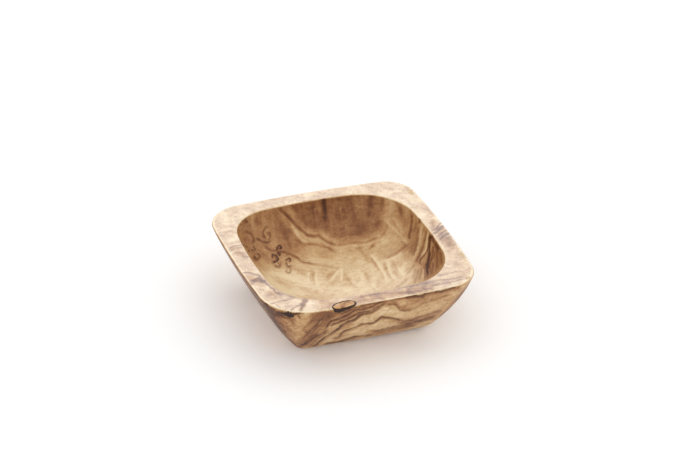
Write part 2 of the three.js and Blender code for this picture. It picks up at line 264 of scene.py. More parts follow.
HOLLOW_LINES = {
    "back_scallop": (0.70, 0.20, (
        (278, 207), (285, 214), (290, 218.5), (295, 224.5), (300, 229.5), (305, 233), (308, 235.5),
        (314, 236.5), (318, 235.5), (321, 237.5), (324, 239.5), (328, 242), (332, 244), (337, 245),
        (343, 245), (347, 243.3), (352, 243), (360, 242.5), (366, 242), (372, 239.8), (376, 238.5),
        (380, 237.5), (383, 234.5), (385, 231), (387, 227), (386.5, 224), (383, 221.5))),
    "line_past_the_pips": (0.70, 0.46, (
        (264, 244.5), (267, 247.5), (272, 250), (276, 250.3), (280, 250.5), (284, 252), (289, 253.5),
        (294, 255.5), (297, 257.5), (300, 260), (303, 262), (308, 263), (316, 264))),
    "line_past_the_pips_end": (0.70, 0.14, ((312, 263.5), (318, 264.3), (326, 265.7), (340, 268.3))),
    "line_under_the_swirl": (0.75, 0.62, (
        (256.5, 238), (259, 239.3), (262, 240.8), (265, 241.6), (267, 242.4), (269, 241.4),
        (270, 239.8))),
    "left_line": (0.75, 0.55, (
        (246, 231), (249, 232.5), (252, 234.5), (253.5, 237), (254.3, 239), (253, 243.5))),
    "swirl": (0.85, 0.58, ((268, 226.5), (265, 229.5), (263.6, 233), (264.3, 236), (265.8, 238))),
    "swirl_right": (0.60, 0.50, ((269.5, 232), (270.8, 235), (270.5, 238.5), (268, 239.8))),
    "swirl_heart": (0.55, 0.50, ((266, 231.5), (268.5, 232.8), (267.5, 235.5))),
    "pip_1": (0.95, 1.00, (
        (276.5, 250), (277, 248), (278, 246), (279.5, 245.3), (281, 246.5), (281, 248.5),
        (279.5, 249.2))),
    "pip_2": (0.95, 1.00, ((277, 253), (278.5, 252), (280.3, 253), (280, 255), (278.5, 255.5))),
    "pip_3": (1.00, 1.00, (
        (272.5, 257.5), (272, 255.5), (273.5, 254.3), (275.5, 254.8), (277, 256.5), (278.5, 258.5),
        (278, 260), (276.5, 261.3), (274.5, 262.3), (272.5, 263.3))),
    "pip_4": (0.95, 0.95, (
        (286, 260.3), (287, 258.8), (289, 258.5), (290.3, 259.5), (290.3, 261), (289, 262))),
    "pip_5": (0.70, 0.40, ((287, 270), (286.5, 272), (289, 273), (290.5, 271), (290, 268.5))),
    "pip_6": (0.85, 0.60, ((275, 265), (277, 266.5), (279.5, 266.5), (280, 264))),
    "pip_7": (0.90, 0.60, ((286, 263), (287.5, 265), (288.5, 266.5), (290.5, 265.5))),
    "pip_8": (0.90, 0.75, (
        (255, 256), (254.5, 258), (256.5, 259.3), (258.5, 258), (259, 256), (257.8, 254))),
    "pip_9": (0.85, 0.75, ((244.7, 221.2), (245.5, 220.2), (247, 220.6), (247.3, 222), (246, 222.8))),
    "wedge_border": (0.65, 0.80, (
        (429.5, 235), (428.8, 242), (428, 248), (426.5, 252.5), (424.5, 255), (421.8, 258.5),
        (420.3, 261.8), (420.4, 263.6), (422, 264.6))),
    "wedge_stripe_1": (0.85, 0.95, (
        (430.8, 234), (430.2, 240), (429.6, 246), (430, 252), (429.5, 258), (428.5, 262), (427.5, 266),
        (427.6, 271), (428.2, 276))),
    "wedge_stripe_2": (0.90, 0.85, ((431.2, 235), (434, 240.5), (437, 245), (439.8, 249.5))),
    "wedge_stripe_3": (0.65, 0.60, ((433.5, 246), (433, 252), (432, 258), (430.5, 263), (430, 268))),
    "wedge_stripe_4": (1.00, 0.45, ((437, 246), (437.5, 252), (437, 258), (437.5, 264), (438, 268))),
    "wedge_stripe_5": (0.80, 0.45, ((441, 252), (442, 258), (442, 264))),
    "wedge_stripe_6": (0.80, 0.50, ((434.6, 251), (434.2, 256), (432.6, 260.5))),
    "wedge_stripe_7": (0.70, 0.50, ((433.5, 262), (433, 268), (432, 274))),
    "wedge_left_edge": (0.55, 0.60, ((424.3, 266.5), (424.6, 272), (425, 279))),
    "brown_stripe_1": (0.80, 0.55, (
        (427, 230), (426, 236), (425, 241), (423.5, 246), (421.5, 251), (419.5, 255.5), (418, 259),
        (417.4, 262))),
    "brown_stripe_2": (0.70, 0.70, ((419.5, 217.5), (420.2, 221), (419, 223.5))),
    "brown_stripe_3": (1.50, 0.34, (
        (418.5, 226), (418, 232), (417.5, 238), (416.5, 244), (415, 250), (412.5, 256))),
    "brown_stripe_4": (0.85, 0.65, (
        (412, 214.5), (412.5, 218), (412.3, 222), (411.5, 228), (410, 234), (409, 239))),
    "brown_stripe_5": (0.65, 0.30, ((416.5, 219), (416, 225), (414.5, 231))),
    "brown_stripe_6": (0.60, 0.30, ((423.3, 228), (422.5, 234), (421, 241), (419, 248))),
    "lilac_stripe_1": (0.75, 0.40, ((414.6, 265), (412.5, 267.5), (410, 271), (407, 274.5))),
    "lilac_stripe_2": (1.00, 0.34, ((418.6, 270), (417, 275), (415.5, 280), (414.5, 283.5))),
    "lilac_stripe_3": (0.75, 0.28, ((415.8, 268), (414.5, 273), (413, 279))),
    "lilac_stripe_4": (0.80, 0.34, ((422, 267.5), (421, 273), (419, 279.5))),
    "lilac_stripe_5": (0.60, 0.32, ((409, 268), (404.5, 272.5))),
    "lilac_stripe_6": (1.10, 0.28, ((407.5, 279), (403, 283.5), (396, 288))),
}

# Soft streaks: half width in pixels, darkness (paler where it is below zero), and the pixels that they pass
FRONT_STREAKS = {
    "brown_under_the_knot": (4.5, 0.30, ((318, 317), (328, 315), (340, 312), (352, 309.5))),
    "brown_of_the_bundle": (3.5, 0.22, ((335, 321), (350, 315), (368, 308), (386, 302.5))),
    "swoosh": (2.2, 0.36, ((388, 303.5), (394, 303), (398, 306), (402, 308.8), (408, 309))),
    "swoosh_fade": (3.0, 0.14, ((404, 307), (415, 304), (428, 299))),
    "under_the_rim_shade": (2.2, 0.22, ((400, 299), (420, 297.5), (440, 293.5), (458, 289))),
    "right_end_shade": (2.0, 0.14, ((456, 288.5), (461, 291.5), (459, 295))),
    "wave_shade": (1.8, 0.22, ((380, 318), (388, 318.6), (398, 320.5))),
    "right_stripes_shade": (3.2, 0.20, ((405, 323), (420, 319.5), (436, 314.5))),
    "right_corner_shade": (2.5, 0.08, ((437, 312), (443, 308))),
    # Dark at the foot's corner: painted shade where the wall turns under
    "dark_foot_corner": (2.2, 0.45, ((290, 342), (296, 346), (303, 347.5))),
    "red_patch": (3.0, 0.25, ((289, 321), (293, 320), (292, 327))),
    "low_red_patch": (2.5, 0.20, ((288, 329), (292, 333))),
    "pale_under_the_pocket": (1.6, -0.20, ((284, 319.5), (290, 322))),
    # Paler strip under the rim edge at the corner: painted highlight
    "amber_highlight_under_the_edge": (1.4, -0.20, ((270, 310.2), (277, 311.3))),
    "pale_left_1": (4.0, -0.16, ((300, 321), (307, 325))),
    "pale_left_2": (2.5, -0.20, ((297, 334), (304, 330))),
    "pale_left_3": (2.2, -0.18, ((296, 339), (303, 337))),
    "pale_above_the_wave": (5.0, -0.24, ((372, 315.5), (385, 311.5), (400, 314.5), (430, 307))),
    "pale_below_the_wave": (4.0, -0.24, ((350, 333), (366, 328), (385, 322.5), (396, 322))),
    "pale_between_the_steep_lines": (1.4, -0.24, ((316, 342), (323, 337.8), (330, 333))),
    "pale_foot": (1.8, -0.20, ((322, 343), (333, 339.5))),
}
RIM_STREAKS = {
    "bright_left_band": (2.4, -0.30, ((221, 241), (230, 240.8), (239, 240.5))),
    "grey_band_shade": (2.6, 0.40, ((306.5, 299.5), (303.5, 304), (301, 310))),
    "pale_right_of_the_band": (2.2, -0.20, ((312, 300), (309, 305), (307, 309.5))),
    "right_blush": (4.0, 0.26, ((446, 239.5), (453, 247))),
    "right_patch": (2.5, 0.22, ((432, 221), (432.5, 226))),
    "right_blotch_1": (1.8, 0.22, ((427, 206), (431, 210))),
    "right_blotch_2": (1.6, 0.24, ((431.5, 212.5), (434, 214))),
    "left_blush": (6.0, 0.14, ((262, 290), (285, 303))),
    "left_lilac": (3.0, 0.20, ((270, 293), (283, 291), (293, 296))),
    "left_tan": (4.0, 0.24, ((230, 249), (238, 251), (246, 258))),
    "tan_below_the_arcs": (4.0, 0.30, ((246, 277), (255, 280), (266, 282))),
    "crossing_shade": (6.0, 0.14, ((433, 225), (444, 238))),
    "front_right_brown": (4.0, 0.06, ((430, 284), (462, 276))),
    "front_brown": (3.0, 0.18, ((358, 297.5), (400, 293.5), (425, 290))),
}
HOLLOW_STREAKS = {
    "scallop_shade": (1.7, 0.40, (
        (279, 208), (285, 213.5), (290, 218), (295, 224), (300, 229), (305, 232.6), (308, 235),
        (314, 236), (318, 235.2), (321, 237), (328, 241.6), (334, 244.2))),
    "scallop_shade_right": (1.3, 0.18, (
        (334, 244.2), (343, 244.6), (352, 242.6), (366, 241.6), (376, 238.2), (383, 234.2),
        (386.5, 227))),
    "past_the_pips_shade": (1.5, 0.14, (
        (276, 250), (289, 253.2), (300, 259.6), (308, 262.6), (326, 265.4))),
    "dark_back_streak": (2.4, 0.62, ((324, 196), (324.2, 204), (325, 211))),
    "dark_back_streak_end": (2.2, 0.26, ((325, 211), (326, 215), (328, 222))),
    "second_back_streak": (2.0, 0.26, ((370, 196), (369.5, 209), (368.5, 216))),
    "third_back_streak": (2.0, 0.24, ((382.5, 198), (382, 212))),
    "faint_back_streak_1": (1.6, 0.16, ((342, 198), (343, 213))),
    "faint_back_streak_2": (1.8, 0.16, ((313, 203), (312, 212))),
    "faint_back_streak_3": (1.6, 0.16, ((292, 205), (297, 213))),
    "back_patch_1": (5.0, 0.14, ((353, 218), (364, 225))),
    "back_patch_2": (4.0, 0.14, ((352, 225), (368, 230))),
    "back_patch_3": (3.0, 0.12, ((318, 214), (325, 219))),
    "pale_back_1": (3.5, -0.12, ((357, 201), (360, 212))),
    "pale_back_2": (4.5, -0.10, ((332, 222), (340, 231))),
    "pale_back_3": (3.5, -0.10, ((303, 209), (309, 222))),
    "hook_shade": (2.0, 0.22, ((380, 222), (376, 226))),
    "smudge": (3.6, 0.34, ((282, 227), (285, 232), (286.5, 236))),
    "smudge_tail": (2.2, 0.20, ((288, 239), (290, 244), (291, 249))),
    "left_patch": (4.2, 0.20, ((245.5, 237), (247, 240))),
    "upper_left_red": (2.8, 0.14, ((257, 216), (257.5, 226))),
    "upper_blotch": (2.0, 0.22, ((273, 208), (274, 213))),
    "upper_left_shade": (4.0, 0.16, ((243, 222), (247, 227))),
    "pale_left_1": (2.5, -0.12, ((251, 219), (252, 225))),
    "pale_left_2": (3.5, -0.12, ((258, 229), (262, 226))),
    "pale_left_3": (3.5, -0.12, ((262, 250), (272, 245))),
    # Paler band at the front left of the hollow: painted highlight
    "pale_highlight_front_left": (5.0, -0.30, ((262, 275), (271, 284), (283, 291.5), (300, 296.5))),
    "right_patch": (2.4, 0.40, ((398.5, 205), (400.5, 210), (402.3, 216))),
    "right_patch_2": (2.6, 0.18, ((404, 219), (406.5, 223), (405.5, 228))),
    "right_brown_1": (3.0, 0.18, ((414, 243), (412, 249), (409, 256))),
    "right_brown_2": (3.0, 0.20, ((408, 246), (404, 252), (407, 258))),
    "right_purple": (2.0, 0.36, ((417, 258.5), (415, 263.5))),
    # Grey patches under the scallop: painted shadow
    "grey_shadow_under_the_scallop_1": (1.6, 0.40, ((305, 243.8), (313, 244), (320, 245.2))),
    "grey_shadow_under_the_scallop_2": (1.5, 0.46, ((322, 245.5), (328, 248), (334, 251))),
    "grey_shadow_under_the_scallop_3": (1.3, 0.42, ((356, 248.6), (362, 247.8))),
    "grey_shadow_under_the_scallop_4": (1.2, 0.48, ((374, 243.8), (372, 246.5), (369.8, 248.6))),
    "left_grey_shadow": (1.6, 0.36, ((300, 241.5), (301.6, 243))),
    "wedge_dark_side": (3.2, 0.20, ((433, 238), (438.5, 250), (438.5, 264), (434, 273))),
    "wedge_foot": (3.4, 0.34, ((425.5, 264), (428, 270), (428, 277))),
    "wedge_heart": (1.8, 0.26, ((429.5, 252), (428.5, 260), (428, 268))),
    "pale_beside_the_wedge": (1.3, -0.32, ((428.3, 232), (427.3, 243), (425.6, 250), (421.5, 256))),
    "brown_band": (3.0, 0.20, ((412.5, 212), (412, 225), (410.5, 238), (411, 249))),
    "pale_stripe": (1.5, -0.26, ((421.8, 225), (420.6, 236), (418.5, 247), (414.5, 256))),
    "fall_to_the_right": (1.8, 0.26, ((360, 250), (365, 256), (368, 262))),
    "boundary_to_the_right": (1.4, 0.28, (
        (386, 259.5), (391, 256), (396, 253), (403, 248), (407.5, 244.5))),
    "patch_in_the_loop": (2.2, 0.28, ((313, 272), (313.5, 278))),
    "patch_left_of_the_v": (1.8, 0.28, ((333, 273), (328.5, 275.5), (327.5, 279))),
    "patch_under_the_v": (2.6, 0.26, ((330, 283.5), (336, 281))),
    "dark_of_the_v": (2.2, 0.32, ((345.5, 275.5), (347.5, 279), (350, 283))),
    "patch_below": (2.8, 0.24, ((352, 285), (357, 289))),
    "tan_fall_1": (2.2, 0.28, ((364, 272), (367, 277), (369, 281))),
    "tan_fall_2": (2.0, 0.28, ((378, 281), (377, 286), (375, 290))),
    "tan_fall_3": (2.0, 0.32, ((383, 262), (385.5, 269), (388, 276))),
    "tan_fall_4": (1.8, 0.28, ((393, 262), (395.5, 267))),
    "tan_fall_5": (1.8, 0.28, ((391.5, 271), (395, 273.5), (399, 277))),
    "tan_left_of_the_fold": (1.6, 0.24, ((371, 258), (375.5, 264.5), (379, 269.5))),
    "tan_left": (3.4, 0.26, ((292, 267), (300, 270), (307, 274.5))),
    "tan_floor_left": (2.6, 0.20, ((274, 279), (284, 284), (291, 289))),
    "tan_floor_front": (2.4, 0.20, ((300, 287), (310, 291.5), (318, 293))),
    "pale_fall": (2.6, -0.16, ((372, 268), (375, 278))),
    "pale_floor_left": (6.0, -0.14, ((275, 276), (300, 281), (318, 291))),
    "pale_floor_front": (6.0, -0.16, ((340, 291), (372, 290))),
    "pale_floor_right": (2.6, -0.24, ((406, 265), (402.5, 269), (402, 275))),
}

# Bright folds of the curl: half width in pixels, brightness, shade on the right of the path, and the pixels
HOLLOW_FOLDS = {
    "pale_under_the_scallop": (1.3, 0.30, 0.12, (
        (289.5, 222.5), (294, 230), (298.5, 236.5), (302, 240.5), (307, 242.8), (313, 243))),
    "pale_in_the_scallop": (1.5, 0.12, 0.04, (
        (300, 226), (306, 231), (314, 233.5), (322, 236), (331, 241.5), (343, 242.5))),
    "pale_right_of_the_back": (0.8, 0.24, 0.10, (
        (384, 219.5), (388, 224), (391, 227), (395, 230), (399.5, 235), (403, 239.5))),
    "kink": (0.7, 0.34, 0.12, ((401.5, 239.5), (405, 241), (408, 245))),
    "second_right_fold": (0.9, 0.18, 0.06, ((392, 216), (396, 222), (400, 229), (403, 235))),
    "spine_of_the_v": (0.7, 0.40, -0.16, ((342, 267), (342.3, 274), (341.6, 282.5))),
    "left_leg_of_the_v": (0.9, 0.28, 0.10, ((341, 268.5), (335, 274), (332, 279), (326, 282.5))),
    "right_side_of_the_loop": (0.9, 0.26, 0.12, ((317, 269.5), (315.5, 277), (317.5, 288))),
    "left_side_of_the_loop": (0.9, 0.20, -0.10, ((310.5, 271), (308.5, 276.5), (310, 284))),
    "long_fold": (0.9, 0.34, 0.14, (
        (366.5, 251.5), (374.5, 259.5), (380.5, 268), (385, 275.5), (386.5, 284))),
    "second_fold": (0.9, 0.28, 0.14, ((386.5, 258), (389, 270), (393, 277.5), (397, 281.5))),
    "third_fold": (0.9, 0.28, 0.12, ((396.5, 265), (400, 271), (405, 277))),
    "bow_fold": (1.0, 0.18, 0.10, ((355, 268), (361, 274), (361.5, 280), (357, 287))),
    "boundary_fold": (1.2, 0.20, -0.08, ((378, 262), (390, 259), (398, 255.5), (405, 250))),
    "low_fold": (1.0, 0.16, 0.10, ((371, 282), (378, 292))),
    "left_fold": (1.4, 0.18, 0.08, ((262, 272), (280, 275.5), (300, 281))),
    "wedge_light": (0.7, 0.40, 0.10, ((423.4, 267), (423.5, 273), (423.3, 280))),
    "light_stripe_1": (0.9, 0.26, 0.06, (
        (428.4, 231), (427.6, 238), (427, 245), (425.5, 251), (421.5, 256))),
    "light_stripe_2": (1.0, 0.20, 0.06, (
        (422.5, 226), (421, 233), (420.5, 240), (418.5, 247), (415.5, 254))),
}

# Areas with their own depth of colour: darkness, softness of the border in pixels, and the corners
HOLLOW_AREAS = {
    "back_wall": (0.46, 6.0, (
        (286, 203), (297, 217), (305, 228), (313, 231), (323, 232.5), (333, 238.5), (345, 240),
        (362, 237.5), (373, 234.5), (382, 228), (386, 190), (340, 180), (290, 190))),
    "above_the_scallop": (0.14, 3.0, (
        (279, 207), (296, 226), (309, 236.5), (321.5, 238), (334.5, 245), (356.5, 242), (376, 238.5),
        (388, 225), (389, 190), (340, 180), (290, 190))),
    "left_wall": (0.40, 10.0, (
        (225, 225), (258, 195), (281, 203), (296, 226), (306, 244), (304, 254), (288, 260), (268, 263),
        (246, 264))),
    "right_wall": (0.23, 6.0, (
        (390, 195), (412, 200), (436, 222), (456, 250), (450, 276), (424, 283), (422, 268), (416, 256),
        (404, 247), (389, 226))),
    "wedge": (0.06, 1.6, (
        (430, 230), (424.5, 255.5), (420.2, 262), (421, 264.5), (424, 267), (424.5, 281), (440, 281),
        (456, 262), (446, 240))),
    "pale_floor": (-0.21, 10.0, (
        (300, 264), (340, 256), (385, 262), (412, 268), (412, 285), (380, 296), (330, 300), (280, 294),
        (270, 276))),
}
FRONT_AREAS = {
    "right_end": (0.08, 6.0, ((392, 299), (440, 293), (430, 318), (388, 328))),
    "grey_wedge": (0.24, 3.0, (
        (312, 312), (350, 309), (334, 318), (326, 327), (314, 337), (300, 346.5), (295, 345),
        (304, 333), (310, 322))),
    "left_corner": (0.19, 12.0, (
        (250, 300), (300, 312), (332, 314), (326, 330), (308, 352), (280, 345))),
    # Darker left wall: painted shade on the side that faces away from the light
    "left_wall": (0.40, 5.0, (
        (205, 225), (222, 243), (243, 270), (266, 300), (284, 330), (296, 350), (250, 350),
        (205, 300))),
}
RIM_AREAS = {
    "right_rim": (0.10, 5.0, ((418, 203), (436, 212), (476, 268), (472, 282), (448, 264), (436, 232))),
    # Darker front rim: painted shade for its weaker sheen, which also thins the painted sheen there
    "front_rim": (0.27, 7.0, (
        (318, 296), (340, 300), (395, 289), (425, 281.5), (436, 287), (425, 300), (360, 316),
        (318, 318))),
}

# Small dark spots: radius in pixels, and the pixel at the middle of each
HOLLOW_SPOTS = {
    "upper_left_pips": (1.1, (
        (246.5, 218.4), (243, 221), (246.2, 221.7), (247.4, 226.3), (244.6, 226.8), (241.3, 224.6),
        (241.6, 229.2))),
    "left_pips": (1.6, ((253.7, 247), (255, 249.4), (252.5, 250.2), (257.8, 254))),
    "edge_pips": (1.5, ((243.6, 245.2), (246.6, 246.7), (249, 251))),
    "ring_pips": (1.5, (
        (276.6, 249.6), (279.9, 248.5), (272.4, 257.3), (278.4, 259), (274.7, 262.1), (273, 254.6),
        (286.2, 260), (290.6, 260.2), (279.4, 255), (277.6, 253.4))),
    "faint_pips": (1.1, (
        (276, 265.6), (279.5, 265.2), (278, 262.9), (286.5, 263.2), (288.2, 266.2), (290.8, 265.6),
        (286.3, 271.6), (289.6, 272.6))),
    "wedge_pips": (1.3, ((428, 261.5), (427, 266), (429, 267), (428, 272), (430, 249.5))),
}
RIM_SPOTS = {
    "inner_edge_pips": (1.1, (
        (262.5, 281), (265.5, 282.2), (269, 285), (272, 288), (275, 290.2), (278.5, 292.6))),
    "rim_pips": (1.0, ((469.3, 273.9), (268.7, 279.6), (272, 284.2), (321.4, 300.5))),
}
FRONT_SPOTS = {
    "front_pips": (1.0, ((307.5, 332.6), (294.6, 329), (286.6, 323.8))),
}

# How the traced marks are drawn
VEIN_LAYERS = 4  # neighbouring lines go to different layers, so that each keeps a clean distance of its own
CURVE_STEPS = 5
FAR_OFFSET = 4.0  # half widths from a line where its layer stops
FADE_START = 2.4
END_TAPER = 0.10
END_KEPT = END_TAPER / 4  # a line keeps a little strength at its ends
FOLD_TAPER = 0.25
FOLD_REACH = 6
FOLD_CONTRAST = 1.15
FOLD_SHARPNESS = 0.85
FOLD_SHADE_WIDTH = 2.2  # beside the width of the bright line
STREAK_REACH = 3
STREAK_TAPER = 2.0  # half widths; an end has half strength, so that two ends join smoothly
DRIFT_REACH = 12.0  # pixels
FACING = (-0.04, 0.10)  # how far a point faces the camera where its marks start and where they are full
TINY = 1e-9  # keeps a division from failing

# Depth of colour before anything is traced; the rounded edges are paled as a painted highlight, and walls
# that face left get painted shade
TONES = {"rim": 0.05, "edges": -0.50, "front": 0.09}
LEFT_PAINTED_SHADE = 0.36
LEFT_SHADE_FACING = (0.5, 0.9)  # how far a wall faces left where that starts and where it is full
# The rim is mixed towards a pale neutral colour, less where its colour is deep: painted sheen
RIM_PAINTED_SHEEN = 0.26
TONE_WITHOUT_SHEEN = 0.40
BACK_RAYS = 0.45  # on the back wall of the hollow
BACK_FACING = (0.4, 0.8)

# How strong each part of the ground is on the rim, in the hollow and outside
STRENGTHS = {
    "mottling": (0.62, 0.46, 0.80),
    "blotching": (1.5, 0.35, 0.45),
    "crinkling": (0.24, 0.08, 0.10),
    "lines": (0.15, 0.85, 1.0),  # of the growth layers, where nothing was traced
    "deep_veins": (0.40, 1.0, 1.0),  # lines stay brown on the rim
}


class BowlSizes(bpy.types.PropertyGroup):
    """Sizes of the bowl and of what is set into it."""

    rim_span: bpy.props.FloatProperty(
        name="Rim span", description="Across the rim, from the middle of one side to the other",
        default=2 * min(CAD_BOX[1].x, CAD_BOX[1].y, -CAD_BOX[0].x, -CAD_BOX[0].y), unit="LENGTH")
    height: bpy.props.FloatProperty(
        name="Height", description="From the table to the rim",
        default=CAD_BOX[1].z - CAD_BOX[0].z, unit="LENGTH")
    base_span: bpy.props.FloatProperty(
        name="Base span", description="Across the foot, where the slope of the walls would meet the table",
        default=73.0 * MM, unit="LENGTH")
    wall_bow: bpy.props.FloatProperty(
        name="Wall bow", description="How far the wall stands out from a straight slope at mid-height",
        default=2.5 * MM, unit="LENGTH")
    side_radius: bpy.props.FloatProperty(
        name="Side radius", description="Radius of the sides, seen from above",
        default=665.0 * MM, unit="LENGTH")
    rim_corners: bpy.props.FloatVectorProperty(
        name="Rim corners", size=4,
        description="Corner radii at the rim: back right, back left, front left, front right",
        default=(16.7 * MM, 20.0 * MM, 24.6 * MM, 19.1 * MM), unit="LENGTH")
    base_corner: bpy.props.FloatProperty(
        name="Base corner", description="Corner radius at the foot",
        default=2.5 * MM, unit="LENGTH")
    foot_round: bpy.props.FloatProperty(
        name="Foot rounding", description="Rounding from the wall into the base",
        default=4.0 * MM, unit="LENGTH")
    rim_edge_round: bpy.props.FloatProperty(
        name="Rim edge", description="Rounding of the outer edge of the rim",
        default=0.9 * MM, unit="LENGTH")
    rim_width: bpy.props.FloatProperty(
        name="Rim width", description="Wood between the outside and the opening",
        default=9.7 * MM, unit="LENGTH")
    floor_thickness: bpy.props.FloatProperty(
        name="Floor", description="Wood under the lowest point of the hollow",
        default=8.5 * MM, unit="LENGTH")
    opening_side_radius: bpy.props.FloatProperty(
        name="Opening side radius", description="Radius of the opening's sides",
        default=269.0 * MM, unit="LENGTH")
    opening_corners: bpy.props.FloatVectorProperty(
        name="Opening corners", description="Corner radii of the opening, in the same order as the rim's",
        size=4, default=(30.4 * MM, 24.8 * MM, 28.2 * MM, 30.6 * MM), unit="LENGTH")
    opening_edge_round: bpy.props.FloatProperty(
        name="Opening edge", description="Rounding of the inner edge of the rim",
        default=0.7 * MM, unit="LENGTH")
    hollow_lean: bpy.props.FloatProperty(
        name="Hollow lean", description="Lean of the hollow's wall from upright, just under the rim",
        default=math.radians(14), unit="ROTATION")
    hollow_wall_fullness: bpy.props.FloatProperty(
        name="Wall fullness", description="How far down the hollow's wall stays steep",
        default=0.56, subtype="FACTOR")
    hollow_floor_fullness: bpy.props.FloatProperty(
        name="Floor fullness", description="How far out the hollow's floor stays flat",
        default=0.54, subtype="FACTOR")
    knot_size: bpy.props.FloatVectorProperty(
        name="Knot", description="Length along the edge, width across the rim and depth, bark included",
        size=3, default=(14.0 * MM, 8.2 * MM, 9.0 * MM), unit="LENGTH")
    bark_wall: bpy.props.FloatProperty(
        name="Bark", description="Thickness of the bark round the knot",
        default=0.8 * MM, unit="LENGTH")
    bark_shift: bpy.props.FloatProperty(
        name="Bark shift", description="How much further in the knot sits than its bark",
        default=0.4 * MM, unit="LENGTH")
    pocket_size: bpy.props.FloatVectorProperty(
        name="Bark pocket", description="Length, depth and height of the pocket under the rim",
        size=3, default=(11.0 * MM, 2.2 * MM, 4.6 * MM), unit="LENGTH")


def linear(colour):
    """Linear red, green and blue of an sRGB hex colour such as #C8A272."""
    parts = [int(colour[start:start + 2], 16) / 255 for start in (1, 3, 5)]
    return tuple(part / 12.92 if part <= 0.04045 else ((part + 0.055) / 1.055) ** 2.4 for part in parts)


class BowlColours(bpy.types.PropertyGroup):
    """Colours of the wood, its bark, its filler and the floor."""

    pale_wood: bpy.props.FloatVectorProperty(
        name="Pale wood", description="Sapwood, the palest part",
        default=linear("#EAD3AA"), subtype="COLOR")
    honey_wood: bpy.props.FloatVectorProperty(
        name="Honey wood", description="Most of the block",
        default=linear("#CFAB7C"), subtype="COLOR")
    tan_wood: bpy.props.FloatVectorProperty(
        name="Tan wood", description="Between honey and brown",
        default=linear("#B48658"), subtype="COLOR")
    brown_wood: bpy.props.FloatVectorProperty(
        name="Brown wood", description="Heartwood",
        default=linear("#8D5C37"), subtype="COLOR")
    dark_wood: bpy.props.FloatVectorProperty(
        name="Dark wood", description="Darkest heartwood",
        default=linear("#54311B"), subtype="COLOR")
    vein: bpy.props.FloatVectorProperty(
        name="Vein", description="Darkest growth lines",
        default=linear("#30190B"), subtype="COLOR")
    faint_vein: bpy.props.FloatVectorProperty(
        name="Faint vein", description="Faint growth lines",
        default=linear("#7A4623"), subtype="COLOR")
    # Pale neutral colour that the rim is mixed towards: painted sheen
    painted_sheen_colour: bpy.props.FloatVectorProperty(
        name="Painted sheen", description="Pale neutral colour mixed over the rim as painted sheen",
        default=linear("#F4E8D7"), subtype="COLOR")
    knot: bpy.props.FloatVectorProperty(
        name="Knot", description="End grain of the branch",
        default=linear("#C28A4E"), subtype="COLOR")
    bark: bpy.props.FloatVectorProperty(
        name="Bark", description="Ingrown bark",
        default=linear("#241A18"), subtype="COLOR")
    filler: bpy.props.FloatVectorProperty(
        name="Filler", description="Filled chips",
        default=linear("#DFC79C"), subtype="COLOR")
    paper: bpy.props.FloatVectorProperty(
        name="Floor", description="Paper that the bowl stands on",
        default=linear("#FAFAFA"), subtype="COLOR")


# Shape of the block

def outline(half, side_radius, corner_radii):
    """Square with bowed sides and rounded corners, counter-clockwise, as eight arcs that meet smoothly."""
    side_centre = half - side_radius
    corners = []
    for wanted in corner_radii:
        radius = max(wanted, LEAST_CORNER)
        reach = side_radius - radius
        centre = (side_centre + math.sqrt(2 * reach ** 2 - side_centre ** 2)) / 2
        corners.append((radius, centre, math.atan2(centre, centre - side_centre)))
    arcs = []
    for quarter, (radius, centre, turn) in enumerate(corners):
        start = quarter * RIGHT_ANGLE
        turn_before = corners[quarter - 1][2]
        spin = np.array(((math.cos(start), math.sin(start)), (-math.sin(start), math.cos(start))))
        side = np.linspace(start - turn_before, start + turn, SIDE_STEPS, endpoint=False)
        corner = np.linspace(start + turn, start + RIGHT_ANGLE - turn, CORNER_STEPS, endpoint=False)
        both = ((side, (side_centre, 0), side_radius), (corner, (centre, centre), radius))
        for angles, middle, arc_radius in both:
            directions = np.stack((np.cos(angles), np.sin(angles)), 1)
            arcs.append(directions * arc_radius + np.array(middle) @ spin)
    return np.concatenate(arcs)


def at_height(points, z):
    """The same points in space, at one height."""
    return np.column_stack((points, np.full(len(points), z)))


def wall_ring(sizes, z, inset):
    """Ring of the outer wall at height z, drawn in by inset from its slope, which ends under the edge."""
    rise = min(z / (sizes.height - sizes.rim_edge_round), 1)
    half = (sizes.base_span + (sizes.rim_span - sizes.base_span) * rise) / 2
    half += 4 * sizes.wall_bow * rise * (1 - rise) - inset
    foot = sizes.base_corner
    corners = [foot + (radius - foot) * rise - inset for radius in sizes.rim_corners]
    return at_height(outline(half, sizes.side_radius - inset, corners), z)


def opening_ring(sizes, z, outset):
    """Ring of the opening at height z, set back by outset from its edge."""
    half = sizes.rim_span / 2 - sizes.rim_width + outset
    corners = [radius + outset for radius in sizes.opening_corners]
    return at_height(outline(half, sizes.opening_side_radius + outset, corners), z)


def hollow_profile(sizes):
    """Side view of the hollow, from the opening to its lowest point in even steps: (out, height)."""
    top = sizes.height - sizes.opening_edge_round
    half = sizes.rim_span / 2 - sizes.rim_width
    steep = (top - sizes.floor_thickness) * sizes.hollow_wall_fullness
    ends = np.array((
        (half, top),
        (half - steep * math.tan(sizes.hollow_lean), top - steep),
        (half * sizes.hollow_floor_fullness, sizes.floor_thickness),
        (0, sizes.floor_thickness),
    ))
    t = np.linspace(0, 1, HOLLOW_SAMPLES)[:, None]
    weights = ((1 - t) ** 3, 3 * t * (1 - t) ** 2, 3 * t ** 2 * (1 - t), t ** 3)
    curve = sum(weight * end for weight, end in zip(weights, ends))
    travelled = np.concatenate(((0,), np.cumsum(np.linalg.norm(np.diff(curve, axis=0), axis=1))))
    even = np.linspace(0, travelled[-1], HOLLOW_STEPS + 1)
    return np.column_stack([np.interp(even, travelled, curve[:, axis]) for axis in (0, 1)])


